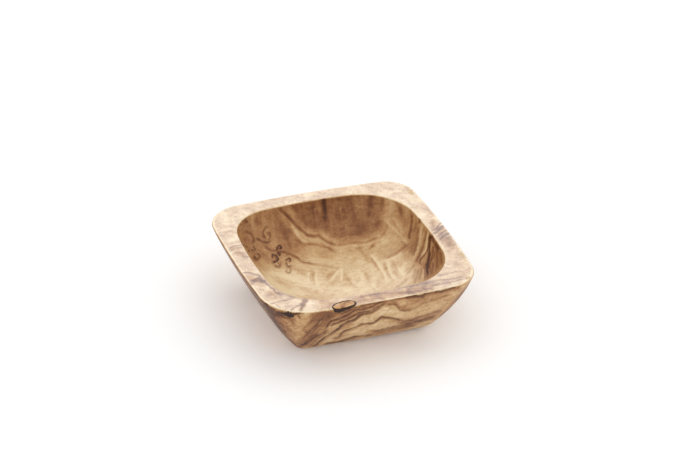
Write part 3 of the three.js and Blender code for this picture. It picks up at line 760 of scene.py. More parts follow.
def hollow_rings(sizes):
    """Rings of the hollow, which turn from the opening's rounded square into circles as they go down."""
    half = sizes.rim_span / 2 - sizes.rim_width
    opening = opening_ring(sizes, 0, 0)[:, :2]
    round_opening = opening / np.linalg.norm(opening, axis=1)[:, None]
    rings = []
    for out, height in hollow_profile(sizes)[1:-1]:
        share = out / half
        points = round_opening * out * (1 - share ** 2) + opening * share * share ** 2
        rings.append(thinned(at_height(points, height), share))
    return rings


def thinned(ring, share):
    """Fewer points, halved again and again, for a ring of a small share of the full size."""
    while share < 0.5 and len(ring) % 2 == 0 and len(ring) // 2 >= FEWEST_AROUND:
        ring = ring[::2]
        share *= 2
    return ring


def uneven(ring, rows, row):
    """Draws a ring in by the shallow waves that knife and sandpaper leave."""
    angle = np.arctan2(ring[:, 1], ring[:, 0])
    height = row / rows * 2 * math.pi
    waves = sum(np.sin(around * angle + down * height + phase) for around, down, phase in HAND_WAVES)
    depth = HAND_DEPTH * (1 + waves / len(HAND_WAVES)) / 2 * math.sin(math.pi * row / rows)
    inwards = -ring[:, :2] / np.linalg.norm(ring[:, :2], axis=1)[:, None]
    moved = ring.copy()
    moved[:, :2] += inwards * depth[:, None]
    return moved


def block_rings(sizes):
    """Rings of each part of the block, from the middle of the base up, over the rim and into the hollow."""
    foot_turns = [share * RIGHT_ANGLE for share in np.linspace(0, 1, FOOT_STEPS + 1)]
    foot = [wall_ring(sizes, sizes.foot_round * (1 - math.cos(turn)),
                      sizes.foot_round * (1 - math.sin(turn))) for turn in foot_turns]
    wall_top = sizes.height - sizes.rim_edge_round
    heights = np.linspace(sizes.foot_round, wall_top, WALL_STEPS + 1)[1:]
    turns = np.linspace(0, RIGHT_ANGLE, EDGE_STEPS + 1)
    outer_edge = [wall_ring(sizes, wall_top + sizes.rim_edge_round * math.sin(turn),
                            sizes.rim_edge_round * (1 - math.cos(turn))) for turn in turns[1:]]
    inner_edge = [opening_ring(sizes, sizes.height - sizes.opening_edge_round * (1 - math.cos(turn)),
                               sizes.opening_edge_round * (1 - math.sin(turn))) for turn in turns]
    rim_shares = np.linspace(0, 1, RIM_STEPS + 1)[1:-1]
    hollow = hollow_rings(sizes)
    return {
        "base": [thinned(foot[0] * (share, share, 0), share) for share in BASE_SHARES],
        "foot": foot,
        "wall": [uneven(wall_ring(sizes, z, 0), WALL_STEPS, row) for row, z in enumerate(heights, 1)],
        "outer_edge": outer_edge,
        "rim": [outer_edge[-1] + (inner_edge[0] - outer_edge[-1]) * share for share in rim_shares],
        "inner_edge": inner_edge,
        "hollow": [uneven(ring, len(hollow), row) for row, ring in enumerate(hollow)],
    }


def bridge(first, second):
    """Faces between two rings of vertex numbers, the second with as many or half as many."""
    count = len(first)
    if count == len(second):
        return np.stack((first, np.roll(first, -1), np.roll(second, -1), second), 1).tolist()
    faces = []
    for step, here in enumerate(second):
        there = second[(step + 1) % len(second)]
        middle = first[2 * step + 1]
        faces.append((first[2 * step], middle, here))
        faces.append((middle, first[(2 * step + 2) % count], there, here))
    return faces


class Block:
    """Points and faces of the whole block, and which points are on the wall, rim, edges and hollow."""

    def __init__(self, sizes):
        parts = block_rings(sizes)
        rings = [ring for part in parts.values() for ring in part]
        starts = np.cumsum([0] + [len(ring) for ring in rings])
        numbers = [np.arange(start, start + len(ring)) for start, ring in zip(starts, rings)]
        centres = np.array(((0, 0, 0), (0, 0, sizes.floor_thickness)))
        self.points = np.concatenate(rings + [centres])
        base_centre, hollow_centre = len(self.points) - 2, len(self.points) - 1
        first = dict(zip(parts, np.cumsum([0] + [len(part) for part in parts.values()])))
        foot, outer_edge, inner_edge = (first[name] for name in ("foot", "outer_edge", "inner_edge"))

        self.faces = []
        for inner, outer in zip(numbers[:foot], numbers[1:]):
            self.faces += [face[::-1] for face in bridge(outer, inner)]
        for lower, higher in zip(numbers[foot:], numbers[foot + 1:]):
            self.faces += bridge(lower, higher)
        for ring, centre, way in ((numbers[0], base_centre, -1), (numbers[-1], hollow_centre, 1)):
            self.faces += [(*pair[::way], centre) for pair in zip(ring, np.roll(ring, -1))]

        wall_start = starts[foot]
        rim_start = starts[outer_edge + len(parts["outer_edge"]) // 2]
        rim_end = starts[inner_edge + len(parts["inner_edge"]) // 2]
        edges = numbers[outer_edge + 1:first["rim"]] + numbers[inner_edge + 1:first["hollow"] - 1]
        number = np.arange(len(self.points))
        self.areas = {
            "front": (number >= wall_start) & (number < rim_start),
            "rim": (number >= rim_start) & (number < rim_end),
            "hollow": (number >= rim_end) & (number != base_centre),
            "edges": np.isin(number, np.concatenate(edges)),
        }

    def mesh(self, name):
        """The block as a new mesh."""
        made = bpy.data.meshes.new(name)
        made.from_pydata(self.points.tolist(), [], [tuple(map(int, face)) for face in self.faces])
        made.update()
        return made


# Camera and figure

def camera_axes():
    """Place of the camera, and its right, up and forward directions."""
    across = math.cos(CAMERA_ELEVATION) * CAMERA_DISTANCE
    place = Vector((
        math.sin(CAMERA_BEARING) * across,
        -math.cos(CAMERA_BEARING) * across,
        math.sin(CAMERA_ELEVATION) * CAMERA_DISTANCE,
    ))
    forward = (CAMERA_AIM - place).normalized()
    level = forward.cross(Vector((0, 0, 1))).normalized()
    upright = level.cross(forward)
    right = level * math.cos(CAMERA_ROLL) + upright * math.sin(CAMERA_ROLL)
    return place, right, right.cross(forward), forward


def to_pixels(points):
    """Where points in space fall in the photograph."""
    place, right, up, forward = (np.array(axis) for axis in camera_axes())
    seen = points - place
    depth = seen @ forward
    return np.column_stack((
        PHOTO_WIDTH / 2 + seen @ right / depth * LENS_PIXELS,
        PHOTO_HEIGHT / 2 - seen @ up / depth * LENS_PIXELS,
    ))


def smooth_path(pixels):
    """Curve through the pixels of a traced line."""
    corners = np.array(pixels, float)
    padded = np.concatenate((corners[:1] * 2 - corners[1:2], corners, corners[-1:] * 2 - corners[-2:-1]))
    path = []
    for before, start, end, after in zip(padded, padded[1:], padded[2:], padded[3:]):
        slope = end - before
        bend = 2 * before - 5 * start + 4 * end - after
        twist = 3 * start - before - 3 * end + after
        for t in np.arange(CURVE_STEPS) / CURVE_STEPS:
            path.append(start + slope * t / 2 + bend * t ** 2 / 2 + twist * t ** 3 / 2)
    path.append(corners[-1])
    return np.array(path)


def along_path(points, path):
    """Distance of pixels from a path, the side that they lie on, and how far along it they are."""
    starts = path[:-1]
    steps = np.diff(path, axis=0)
    lengths = np.maximum(np.linalg.norm(steps, axis=1), TINY)
    offsets = points[:, None, :] - starts
    shares = np.clip((offsets * steps).sum(2) / lengths ** 2, 0, 1)
    gaps = np.linalg.norm(offsets - shares[:, :, None] * steps, axis=2)
    nearest = gaps.argmin(1)
    every = np.arange(len(points))
    step, offset = steps[nearest], offsets[every, nearest]
    side = np.where(step[:, 0] * offset[:, 1] < step[:, 1] * offset[:, 0], -1, 1)
    travelled = np.concatenate(((0,), np.cumsum(lengths)))
    along = (travelled[nearest] + shares[every, nearest] * lengths[nearest]) / travelled[-1]
    return gaps[every, nearest], side, along


def smoothstep(low, high, value):
    """0 below low, 1 above high, and a smooth rise between."""
    share = np.clip((value - low) / (high - low), 0, 1)
    return share * share * (3 - 2 * share)


class Figure:
    """What each point of the block knows of the figure: its veins, its depth of colour and its spots."""

    def __init__(self, block, normals):
        count = len(block.points)
        self.areas = block.areas
        self.normals = normals
        self.pixels = to_pixels(block.points)
        view = np.array(camera_axes()[0]) - block.points
        view /= np.linalg.norm(view, axis=1)[:, None]
        self.shown = smoothstep(*FACING, (view * normals).sum(1))
        self.offsets = np.full((VEIN_LAYERS, count), FAR_OFFSET)
        self.depths = np.zeros((VEIN_LAYERS, count))
        # TONES pales the rounded edges: a painted highlight
        self.tone = sum(np.where(self.areas[name], tone, 0.0) for name, tone in TONES.items())
        # Walls that face left are darkened: painted shade
        self.tone += LEFT_PAINTED_SHADE * smoothstep(*LEFT_SHADE_FACING, -normals[:, 0]) * self.areas["front"]
        self.spots = np.full(count, -1.0)
        self.drift = np.full(count, DRIFT_REACH)

    def around(self, area, path, reach):
        """Points of an area that show within reach of a path of pixels."""
        room = (self.pixels > path.min(0) - reach) & (self.pixels < path.max(0) + reach)
        return np.flatnonzero(self.areas[area] & (self.shown > 0) & room.all(1))

    def add_line(self, area, path, half_width, darkness):
        """Draws one vein along a path of pixels, in the layer where it meets the fewest others."""
        chosen = self.around(area, path, DRIFT_REACH)
        gap, side, along = along_path(self.pixels[chosen], path)
        self.drift[chosen] = np.minimum(self.drift[chosen], gap)
        offset = np.minimum(gap / half_width, FAR_OFFSET)
        meets = ((offset < FAR_OFFSET) & (np.abs(self.offsets[:, chosen]) < FAR_OFFSET)).sum(1)
        layer = int(meets.argmin())
        taper = smoothstep(0, END_TAPER, np.minimum(along, 1 - along) + END_KEPT)
        closer = offset < np.abs(self.offsets[layer, chosen])
        taken = chosen[closer]
        self.offsets[layer, taken] = (offset * side)[closer]
        depth = darkness * taper * (1 - smoothstep(FADE_START, FAR_OFFSET, offset)) * self.shown[chosen]
        self.depths[layer, taken] = depth[closer]

    def add_streak(self, area, path, half_width, darkness):
        """Darkens, or with a negative darkness pales, a soft stretch along a path of pixels."""
        chosen = self.around(area, path, STREAK_REACH * half_width)
        gap, _, along = along_path(self.pixels[chosen], path)
        length = np.linalg.norm(np.diff(path, axis=0), axis=1).sum()
        from_end = np.minimum(along, 1 - along) * length / half_width
        taper = smoothstep(-STREAK_TAPER, STREAK_TAPER, from_end)
        self.tone[chosen] += darkness * taper * np.exp(-(gap / half_width) ** 2) * self.shown[chosen]

    def add_fold(self, area, path, half_width, brightness, shade):
        """A bright line along a path of pixels, with a soft shade on one side and light on the other."""
        chosen = self.around(area, path, FOLD_REACH * half_width)
        gap, side, along = along_path(self.pixels[chosen], path)
        taper = smoothstep(0, FOLD_TAPER, np.minimum(along, 1 - along))
        across = FOLD_SHARPNESS * gap / half_width
        line = -FOLD_CONTRAST * brightness * np.exp(-across ** 2)
        slope = FOLD_CONTRAST * shade * side * across * np.exp(-(across / FOLD_SHADE_WIDTH) ** 2)
        self.tone[chosen] += taper * (line + slope) * self.shown[chosen]

    def add_spots(self, area, middles, radius):
        """Small dark spots, as cones of height 1."""
        for middle in middles:
            gap = np.linalg.norm(self.pixels - middle, axis=1)
            height = np.where(self.areas[area] & (self.shown > 0), 1 - gap / radius, -1)
            self.spots = np.maximum(self.spots, height)

    def add_area(self, area, corners, softness, darkness):
        """Deepens the colour inside an outline of the photograph."""
        corners = np.array(corners, float)
        chosen = np.flatnonzero(self.areas[area])
        spots = self.pixels[chosen]
        gap = np.full(len(chosen), np.inf)
        inside = np.zeros(len(chosen), bool)
        for start, end in zip(corners, np.roll(corners, -1, axis=0)):
            step = end - start
            share = np.clip((spots - start) @ step / (step @ step), 0, 1)
            gap = np.minimum(gap, np.linalg.norm(spots - start - share[:, None] * step, axis=1))
            crosses = (start[1] > spots[:, 1]) != (end[1] > spots[:, 1])
            rise = step[1] if step[1] else TINY
            inside ^= crosses & (spots[:, 0] < start[0] + (spots[:, 1] - start[1]) / rise * step[0])
        depth = smoothstep(-softness, softness, np.where(inside, gap, -gap))
        self.tone[chosen] += darkness * depth * self.shown[chosen]

    def attributes(self):
        """Every value by the name that the material reads it under."""
        rim, hollow, front = (self.areas[name] for name in ("rim", "hollow", "front"))
        # Painted sheen on the rim, which fades where the wood is darker
        sheen_fading = smoothstep(0, TONE_WITHOUT_SHEEN, self.tone)
        values = {
            "tone": self.tone,
            "spot": self.spots,
            "traced": np.where(rim, 1.0, np.where(hollow | front, self.shown, 0.0)),
            "drift": self.drift,
            "rays": np.where(hollow, BACK_RAYS * smoothstep(*BACK_FACING, -self.normals[:, 1]), 0.0),
            "painted_sheen": np.where(rim, RIM_PAINTED_SHEEN * (1 - sheen_fading), 0.0),
        }
        for name, (on_rim, in_hollow, outside) in STRENGTHS.items():
            values[name] = np.where(rim, on_rim, np.where(hollow, in_hollow, outside))
        for layer in range(VEIN_LAYERS):
            values[f"vein_offset_{layer}"] = self.offsets[layer]
            values[f"vein_depth_{layer}"] = self.depths[layer]
        return values


def traced_figure(block, normals):
    """The figure of the photograph, laid on the block."""
    figure = Figure(block, normals)
    marks = {
        "front": (FRONT_LINES, FRONT_STREAKS, {}, FRONT_AREAS, FRONT_SPOTS),
        "rim": (RIM_LINES, RIM_STREAKS, {}, RIM_AREAS, RIM_SPOTS),
        "hollow": (HOLLOW_LINES, HOLLOW_STREAKS, HOLLOW_FOLDS, HOLLOW_AREAS, HOLLOW_SPOTS),
    }
    for area, (lines, streaks, folds, areas, spots) in marks.items():
        for half_width, darkness, pixels in lines.values():
            figure.add_line(area, smooth_path(pixels), half_width, darkness)
        for half_width, darkness, pixels in streaks.values():
            figure.add_streak(area, smooth_path(pixels), half_width, darkness)
        for half_width, brightness, shade, pixels in folds.values():
            figure.add_fold(area, smooth_path(pixels), half_width, brightness, shade)
        for darkness, softness, corners in areas.values():
            figure.add_area(area, corners, softness, darkness)
        for radius, pixels in spots.values():
            figure.add_spots(area, pixels, radius)
    return figure


# Inlays

def edge_frame(sizes, bearing, inset, z):
    """Frame at the edge of the rim on a bearing: X along the edge, Y towards the middle, Z up."""
    edge = outline(sizes.rim_span / 2, sizes.side_radius, sizes.rim_corners)
    towards = np.array((math.cos(bearing), math.sin(bearing)))
    nearest = int((edge @ towards / np.linalg.norm(edge, axis=1)).argmax())
    step = edge[(nearest + 1) % len(edge)] - edge[nearest - 1]
    along = Vector((*step, 0)).normalized()
    up = Vector((0, 0, 1))
    inwards = up.cross(along)
    origin = Vector((*edge[nearest], z)) + inwards * inset
    return Matrix.Translation(origin) @ Matrix((along, inwards, up)).transposed().to_4x4()


def lump(name, place, half_size, shrink, lean=0.0, twist=0.0, shift=0.0, seed=0.0,
         roughness=LUMP_ROUGHNESS, waves=LUMP_WAVES, point=0.0, short_end=1.0):
    """Rough blunt lump in an edge frame, shrunk all round, leaning outwards, twisted and shifted inwards.

    Its foot is narrower by the share point, and its right end is short_end times as long as its left end.
    """
    shape = bmesh.new()
    bmesh.ops.create_icosphere(shape, subdivisions=LUMP_DIVISIONS, radius=1)
    turn = place @ Matrix.Translation((0, shift, 0)) @ Matrix.Rotation(twist, 4, "Z")
    turn = turn @ Matrix.Rotation(lean, 4, "X")
    offset = Vector((seed, 2 * seed, 3 * seed))
    for vert in shape.verts:
        blunt = sum(abs(part) ** LUMP_BLUNTNESS for part in vert.co) ** (-1 / LUMP_BLUNTNESS)
        uneven_by = noise.noise(vert.co * waves + offset)
        uneven_by += noise.noise(vert.co * FINE_WAVES * waves + offset) * FINE_ROUGHNESS
        rough = 1 - roughness * ROUGH_LOSS + roughness * uneven_by
        size = Vector(half * blunt * rough - shrink for half in half_size)
        size.x *= 1 + point * min(vert.co.z, 0)
        size.x *= short_end if vert.co.x > 0 else 1
        vert.co = turn @ (vert.co * size)
    made = bpy.data.meshes.new(name)
    shape.to_mesh(made)
    shape.free()
    return made


def combined(first, second, operation):
    """New mesh of two closed ones: their difference or what they share, with no slivers left by the cut."""
    objects = [bpy.data.objects.new("boolean", mesh) for mesh in (first, second)]
    for thing in objects:
        bpy.context.scene.collection.objects.link(thing)
    modifier = objects[0].modifiers.new("boolean", "BOOLEAN")
    modifier.object = objects[1]
    modifier.operation = operation
    modifier.solver = "EXACT"
    graph = bpy.context.evaluated_depsgraph_get()
    made = bpy.data.meshes.new_from_object(objects[0].evaluated_get(graph))
    for thing in objects:
        bpy.data.objects.remove(thing)
    shape = bmesh.new()
    shape.from_mesh(made)
    bmesh.ops.remove_doubles(shape, verts=shape.verts, dist=WELD_DISTANCE)
    shape.to_mesh(made)
    shape.free()
    return made


def knot_lump(sizes, name, shrink, shift):
    """The knot or its bark, by how far it is shrunk."""
    length, width, depth = sizes.knot_size
    half = (length / 2, width / 2 * math.cos(KNOT_LEAN), depth)
    place = edge_frame(sizes, KNOT_BEARING, KNOT_INSET, sizes.height)
    return lump(name, place, half, shrink, KNOT_LEAN, KNOT_TWIST, shift, KNOT_SEED)


def pocket_lump(sizes, name, shrink):
    """The bark pocket or its socket."""
    length, depth, height = sizes.pocket_size
    place = edge_frame(sizes, POCKET_BEARING, 0, sizes.height - POCKET_DROP)
    half = (length / 2, depth, height / 2)
    return lump(name, place, half, shrink, seed=POCKET_SEED, roughness=POCKET_ROUGHNESS, waves=POCKET_WAVES,
                point=POCKET_POINT, short_end=POCKET_SHORT_END)


def chip_lump(sizes, name, shrink):
    """A filled chip or its socket."""
    bearing, inset, (length, width, depth) = CHIPS[name]
    place = edge_frame(sizes, bearing, inset, sizes.height)
    half = (length / 2, width / 2, depth)
    return lump(name, place, half, shrink, seed=bearing, roughness=CHIP_ROUGHNESS, waves=CHIP_WAVES)


def add_piece(name, mesh, material):
    """Puts a finished mesh into the scene as a piece that stands for its node."""
    mesh.materials.clear()
    mesh.materials.append(material)
    mesh.shade_smooth()
    mesh.set_sharp_from_angle(angle=SHARP_ANGLE)
    piece = bpy.data.objects.new(name, mesh)
    bpy.context.scene.collection.objects.link(piece)
    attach(piece, "root")
    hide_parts(name)
    return piece


# Materials

MIX_FACTOR, MIX_A, MIX_B, MIX_RESULT = 0, 6, 7, 2  # sockets of a colour mix
NOISE_INPUTS = ("Vector", "Scale", "Detail", "Roughness", "Distortion")
NOISE_MIDDLE = 0.5
NONE_TO_ALL = (0.0, 1.0)
PLAIN_IOR = 1.5  # of wood, oil, bark and paper alike
USUAL_GLOSS = 0.5
OILED_GLOSS = 0.25  # half of the usual reflection: the oil has soaked in


def opaque(colour):
    """Colour with full alpha, as a colour socket takes it."""
    return (*colour, 1.0)


def fill(tree, socket, value):
    """Links another node's output to a socket, or sets a plain value on it."""
    if isinstance(value, bpy.types.NodeSocket):
        tree.links.new(value, socket)
    else:
        socket.default_value = value


def add_node(tree, kind, inputs=(), output=0, stops=(), **settings):
    """Adds a node, sets it, fills its inputs, by name or in order, and gives one of its outputs.

    A ramp also takes its stops: (position, colour), from low to high.
    """
    made = tree.nodes.new(kind)
    for name, value in settings.items():
        setattr(made, name, value)
    for name, value in inputs.items() if isinstance(inputs, dict) else enumerate(inputs):
        fill(tree, made.inputs[name], value)
    if stops:
        steps = made.color_ramp.elements
        steps.remove(steps[1])
        steps[0].position = stops[0][0]
        for position, _ in stops[1:]:
            steps.new(position)
        for step, (_, colour) in zip(steps, stops):
            step.color = opaque(colour)
    return made.outputs[output]


def new_material(name, roughness, gloss):
    """Material with one principled shader, and the place on the object in millimetres."""
    material = bpy.data.materials.new(name)
    material.use_nodes = True
    tree = material.node_tree
    tree.nodes.clear()
    surface = add_node(tree, "ShaderNodeBsdfPrincipled", {
        "Roughness": roughness, "IOR": PLAIN_IOR, "Specular IOR Level": gloss})
    fill(tree, tree.nodes.new("ShaderNodeOutputMaterial").inputs["Surface"], surface)
    place = add_node(tree, "ShaderNodeTexCoord", output="Object")
    in_mm = add_node(tree, "ShaderNodeVectorMath", {0: place, "Scale": 1 / MM}, operation="SCALE")
    return material, tree, surface.node, in_mm


def finish(tree, shader, colour, height, strength, depth):
    """Gives a shader its colour, and a relief of a depth in millimetres."""
    bump = add_node(tree, "ShaderNodeBump", {
        "Height": height, "Strength": strength, "Distance": depth * MM})
    fill(tree, shader.inputs["Base Color"], colour)
    fill(tree, shader.inputs["Normal"], bump)


def wood_ground(tree, place):
    """Blotches, rays, clouds, curl, grit, fibre and grain, and the same around zero, with crinkles."""
    ray_size = Vector((2.2, 26.0, 12.0))  # millimetres, long down the hollow's back wall
    fibre_stretch = Vector((0.12, 1.0, 1.0))  # long along the grain, as are the next sizes in millimetres
    grain_size = Vector((30.0, 1.6, 1.6))
    grain_sway = Vector((1.0, 4.0, 2.0))
    crinkle_edge = (0.05, 0.0)
    raised = add_node(tree, "ShaderNodeVectorMath", (place, ray_size), operation="DIVIDE")
    fine = add_node(tree, "ShaderNodeVectorMath", (place, fibre_stretch), operation="MULTIPLY")
    stretched = add_node(tree, "ShaderNodeVectorMath", (place, grain_size), operation="DIVIDE")
    looks = {  # place, size in millimetres or in those above, detail, roughness and distortion
        "blotch": (place, 11.0, 3.5, 0.5, 1.2),
        "rays": (raised, 1.0, 1.5, 0.5, 0.5),
        "mottle": (place, 7.0, 2.5, 0.5, 0.5),
        "curl": (place, 2.6, 2.0, 0.5, 0.4),
        "grit": (place, 1.1, 2.0, 0.7, 0.8),
        "fibre": (fine, 0.5, 2.0, 0.5, 0.0),
        "winding": (place, 6.0, 3.0, 0.55, 1.8),
        "grain": (stretched, 1.0, 2.0, 0.5, 0.0),
    }
    ground, centred = {}, {}
    for name, (where, size, *rest) in looks.items():
        if name == "grain":
            sway = add_node(tree, "ShaderNodeCombineXYZ", {"Y": ground["mottle"], "Z": ground["mottle"]})
            where = add_node(tree, "ShaderNodeVectorMath", (
                sway, grain_sway, where), operation="MULTIPLY_ADD")
        inputs = dict(zip(NOISE_INPUTS, (where, 1 / size, *rest)))
        ground[name] = add_node(tree, "ShaderNodeTexNoise", inputs)
        centred[name] = add_node(tree, "ShaderNodeMath", (ground[name], NOISE_MIDDLE), operation="SUBTRACT")
    winding = add_node(tree, "ShaderNodeMath", (centred["winding"],), operation="ABSOLUTE")
    centred["crinkle"] = add_node(tree, "ShaderNodeMapRange", (winding, *crinkle_edge, *NONE_TO_ALL),
                                  interpolation_type="SMOOTHSTEP")
    return ground, centred


def growth_layers(tree, place, curl):
    """Growth layers, which stand across the bowl: dark lines, wood that darkens to them, and streaks."""
    layer_spacing, line_share = 8.0, 0.12  # millimetres, and the part of a layer that its line takes
    lean = Vector((0.12, 1.0, 0.30)) / layer_spacing
    sway_size = Vector((64.0, 34.0, 30.0))  # millimetres
    sway_layers, curl_layers = 9.0, 0.16
    line_strengths = (0.25, 1.0)
    darkening = 2.0  # power of the way through a layer
    straight = add_node(tree, "ShaderNodeVectorMath", (place, lean), "Value", operation="DOT_PRODUCT")
    swaying = add_node(tree, "ShaderNodeVectorMath", (place, sway_size), operation="DIVIDE")
    sway = add_node(tree, "ShaderNodeTexNoise", {
        "Vector": swaying, "Scale": 1.0, "Detail": 2.0, "Roughness": 0.45, "Distortion": 0.3})
    layers = straight
    for value, amount in ((sway, sway_layers), (curl, curl_layers)):
        layers = add_node(tree, "ShaderNodeMath", (value, amount, layers), operation="MULTIPLY_ADD")
    share = add_node(tree, "ShaderNodeMath", (layers,), operation="FRACT")
    number = add_node(tree, "ShaderNodeMath", (layers,), operation="FLOOR")
    chance = add_node(tree, "ShaderNodeTexWhiteNoise", {"W": number}, "Value", noise_dimensions="1D")
    strength = add_node(tree, "ShaderNodeMapRange", (chance, *NONE_TO_ALL, *line_strengths))
    before = add_node(tree, "ShaderNodeMapRange", (share, 1 - line_share, 1.0, *NONE_TO_ALL),
                      interpolation_type="SMOOTHSTEP")
    gather = add_node(tree, "ShaderNodeMath", (share, darkening), operation="POWER")
    line, gather = (add_node(tree, "ShaderNodeMath", (value, strength), operation="MULTIPLY")
                    for value in (before, gather))
    streaks = add_node(tree, "ShaderNodeTexNoise", {
        "W": layers, "Scale": 2.6, "Detail": 4.0, "Roughness": 0.65}, noise_dimensions="1D")
    streaks = add_node(tree, "ShaderNodeMath", (streaks, NOISE_MIDDLE), operation="SUBTRACT")
    return line, gather, streaks


def traced_veins(tree, known, mottle, ragged):
    """Crisp dark lines along the traced veins, ragged and broken by the curl, and the brown beside them."""
    fraying, brown_offset = 3.0, 1.1  # half widths
    line_edge, brown_edge = (1.20, 0.40), (2.6, 0.4)  # half widths where each starts and where it is full
    breaking_clouds, broken_strengths = (0.34, 0.55), (0.55, 1.0)
    spot_edge, spot_strengths = (0.0, 0.6), (0.0, 0.8)
    veins, beside = 0.0, 0.0
    for layer in range(VEIN_LAYERS):
        offset, depth = known[f"vein_offset_{layer}"], known[f"vein_depth_{layer}"]
        frayed = add_node(tree, "ShaderNodeMath", (ragged, fraying, offset), operation="MULTIPLY_ADD")
        leaning = add_node(tree, "ShaderNodeMath", (frayed, brown_offset), operation="SUBTRACT")
        marks = []
        for across, edge in ((frayed, line_edge), (leaning, brown_edge)):
            gap = add_node(tree, "ShaderNodeMath", (across,), operation="ABSOLUTE")
            marks.append(add_node(tree, "ShaderNodeMapRange", (gap, *edge, *NONE_TO_ALL),
                                  interpolation_type="SMOOTHSTEP"))
        line = add_node(tree, "ShaderNodeMath", (marks[0], depth), operation="MULTIPLY")
        veins = add_node(tree, "ShaderNodeMath", (line, veins), operation="MAXIMUM")
        beside = add_node(tree, "ShaderNodeMath", (marks[1], depth, beside), operation="MULTIPLY_ADD")
    broken = add_node(tree, "ShaderNodeMapRange", (mottle, *breaking_clouds, *broken_strengths))
    veins = add_node(tree, "ShaderNodeMath", (veins, broken), operation="MULTIPLY")
    spot = add_node(tree, "ShaderNodeMapRange", (known["spot"], *spot_edge, *spot_strengths),
                    interpolation_type="SMOOTHSTEP")
    veins = add_node(tree, "ShaderNodeMath", (veins, spot), operation="MAXIMUM")
    return veins, beside


def depth_of_colour(tree, known, curl, centred, beside, gather, streaks, hidden):
    """How deep the colour is: what was traced, clouds, grain, and growth layers where nothing was."""
    following_curl = 2.0  # pixels that faint lines beside the traced ones wind with the curl
    streak_strength = 2.4
    bent = add_node(tree, "ShaderNodeMath", (
        curl, following_curl, known["drift"]), operation="MULTIPLY_ADD")
    follow = add_node(tree, "ShaderNodeTexNoise", {
        "W": bent, "Scale": 0.8, "Detail": 3.0, "Roughness": 0.65}, noise_dimensions="1D")
    follow = add_node(tree, "ShaderNodeMath", (follow, NOISE_MIDDLE), operation="SUBTRACT")
    clouds = 0.0
    for value, amount in ((centred["mottle"], 1.00), (centred["curl"], 0.55), (centred["grain"], 0.45),
                          (centred["grit"], 0.75), (follow, 1.10), (streaks, 0.35)):
        clouds = add_node(tree, "ShaderNodeMath", (value, amount, clouds), operation="MULTIPLY_ADD")
    layers = add_node(tree, "ShaderNodeMath", (streaks, streak_strength, gather), operation="MULTIPLY_ADD")
    for amount in (hidden, known["lines"]):
        layers = add_node(tree, "ShaderNodeMath", (layers, amount), operation="MULTIPLY")
    tone = known["tone"]
    for value, amount in ((centred["blotch"], known["blotching"]), (centred["rays"], known["rays"]),
                          (clouds, known["mottling"]), (beside, 0.42), (layers, 0.60),
                          (centred["fibre"], 0.12), (centred["crinkle"], known["crinkling"])):
        tone = add_node(tree, "ShaderNodeMath", (value, amount, tone), operation="MULTIPLY_ADD")
    return tone


def olive_wood(colours, attributes):
    """Olive wood, sanded and oiled: satin, with crisp dark growth lines over a mottled honey ground."""
    roughness, roughness_spread, rough_curl = 0.39, 0.05, (0.3, 0.7)
    hidden_lines = (0.09, 0.90)  # strength of the growth layers' lines under traced ones, and elsewhere
    palest, darkest = -0.4, 1.1
    vein_relief = -0.6
    material, tree, shader, place = new_material("olive_wood_sanded_oiled", roughness, OILED_GLOSS)
    known = {name: add_node(tree, "ShaderNodeAttribute", output="Fac", attribute_name=name)
             for name in attributes}
    ground, centred = wood_ground(tree, place)
    curl = ground["curl"]
    layer_line, gather, streaks = growth_layers(tree, place, curl)
    veins, beside = traced_veins(tree, known, ground["mottle"], centred["curl"])

    hidden = add_node(tree, "ShaderNodeMath", (1.0, known["traced"]), operation="SUBTRACT")
    strength = add_node(tree, "ShaderNodeMapRange", (hidden, *NONE_TO_ALL, *hidden_lines))
    for amount in (known["lines"], layer_line):
        strength = add_node(tree, "ShaderNodeMath", (strength, amount), operation="MULTIPLY")
    veins = add_node(tree, "ShaderNodeMath", (veins, strength), operation="MAXIMUM")

    tone = depth_of_colour(tree, known, curl, centred, beside, gather, streaks, hidden)
    share = add_node(tree, "ShaderNodeMapRange", (tone, palest, darkest, *NONE_TO_ALL))
    wood = add_node(tree, "ShaderNodeValToRGB", (share,), stops=(
        (0.0, colours.pale_wood), (0.27, colours.honey_wood), (0.48, colours.tan_wood),
        (0.72, colours.brown_wood), (1.0, colours.dark_wood)))
    deepness = add_node(tree, "ShaderNodeMath", (veins, known["deep_veins"]), operation="MULTIPLY")
    # The rim is mixed towards a pale neutral colour: painted sheen
    sheened = add_node(tree, "ShaderNodeMix", {
        MIX_FACTOR: known["painted_sheen"], MIX_A: wood, MIX_B: opaque(colours.painted_sheen_colour),
    }, MIX_RESULT, data_type="RGBA")
    line = add_node(tree, "ShaderNodeMix", {
        MIX_FACTOR: deepness, MIX_A: opaque(colours.faint_vein), MIX_B: opaque(colours.vein),
    }, MIX_RESULT, data_type="RGBA")
    colour = add_node(tree, "ShaderNodeMix", {
        MIX_FACTOR: veins, MIX_A: sheened, MIX_B: line}, MIX_RESULT, data_type="RGBA")
    satin = add_node(tree, "ShaderNodeMapRange", (
        curl, *rough_curl, roughness - roughness_spread, roughness + roughness_spread))
    fill(tree, shader.inputs["Roughness"], satin)
    relief = add_node(tree, "ShaderNodeMath", (
        veins, vein_relief, ground["fibre"]), operation="MULTIPLY_ADD")
    finish(tree, shader, colour, relief, strength=0.35, depth=0.03)
    return material


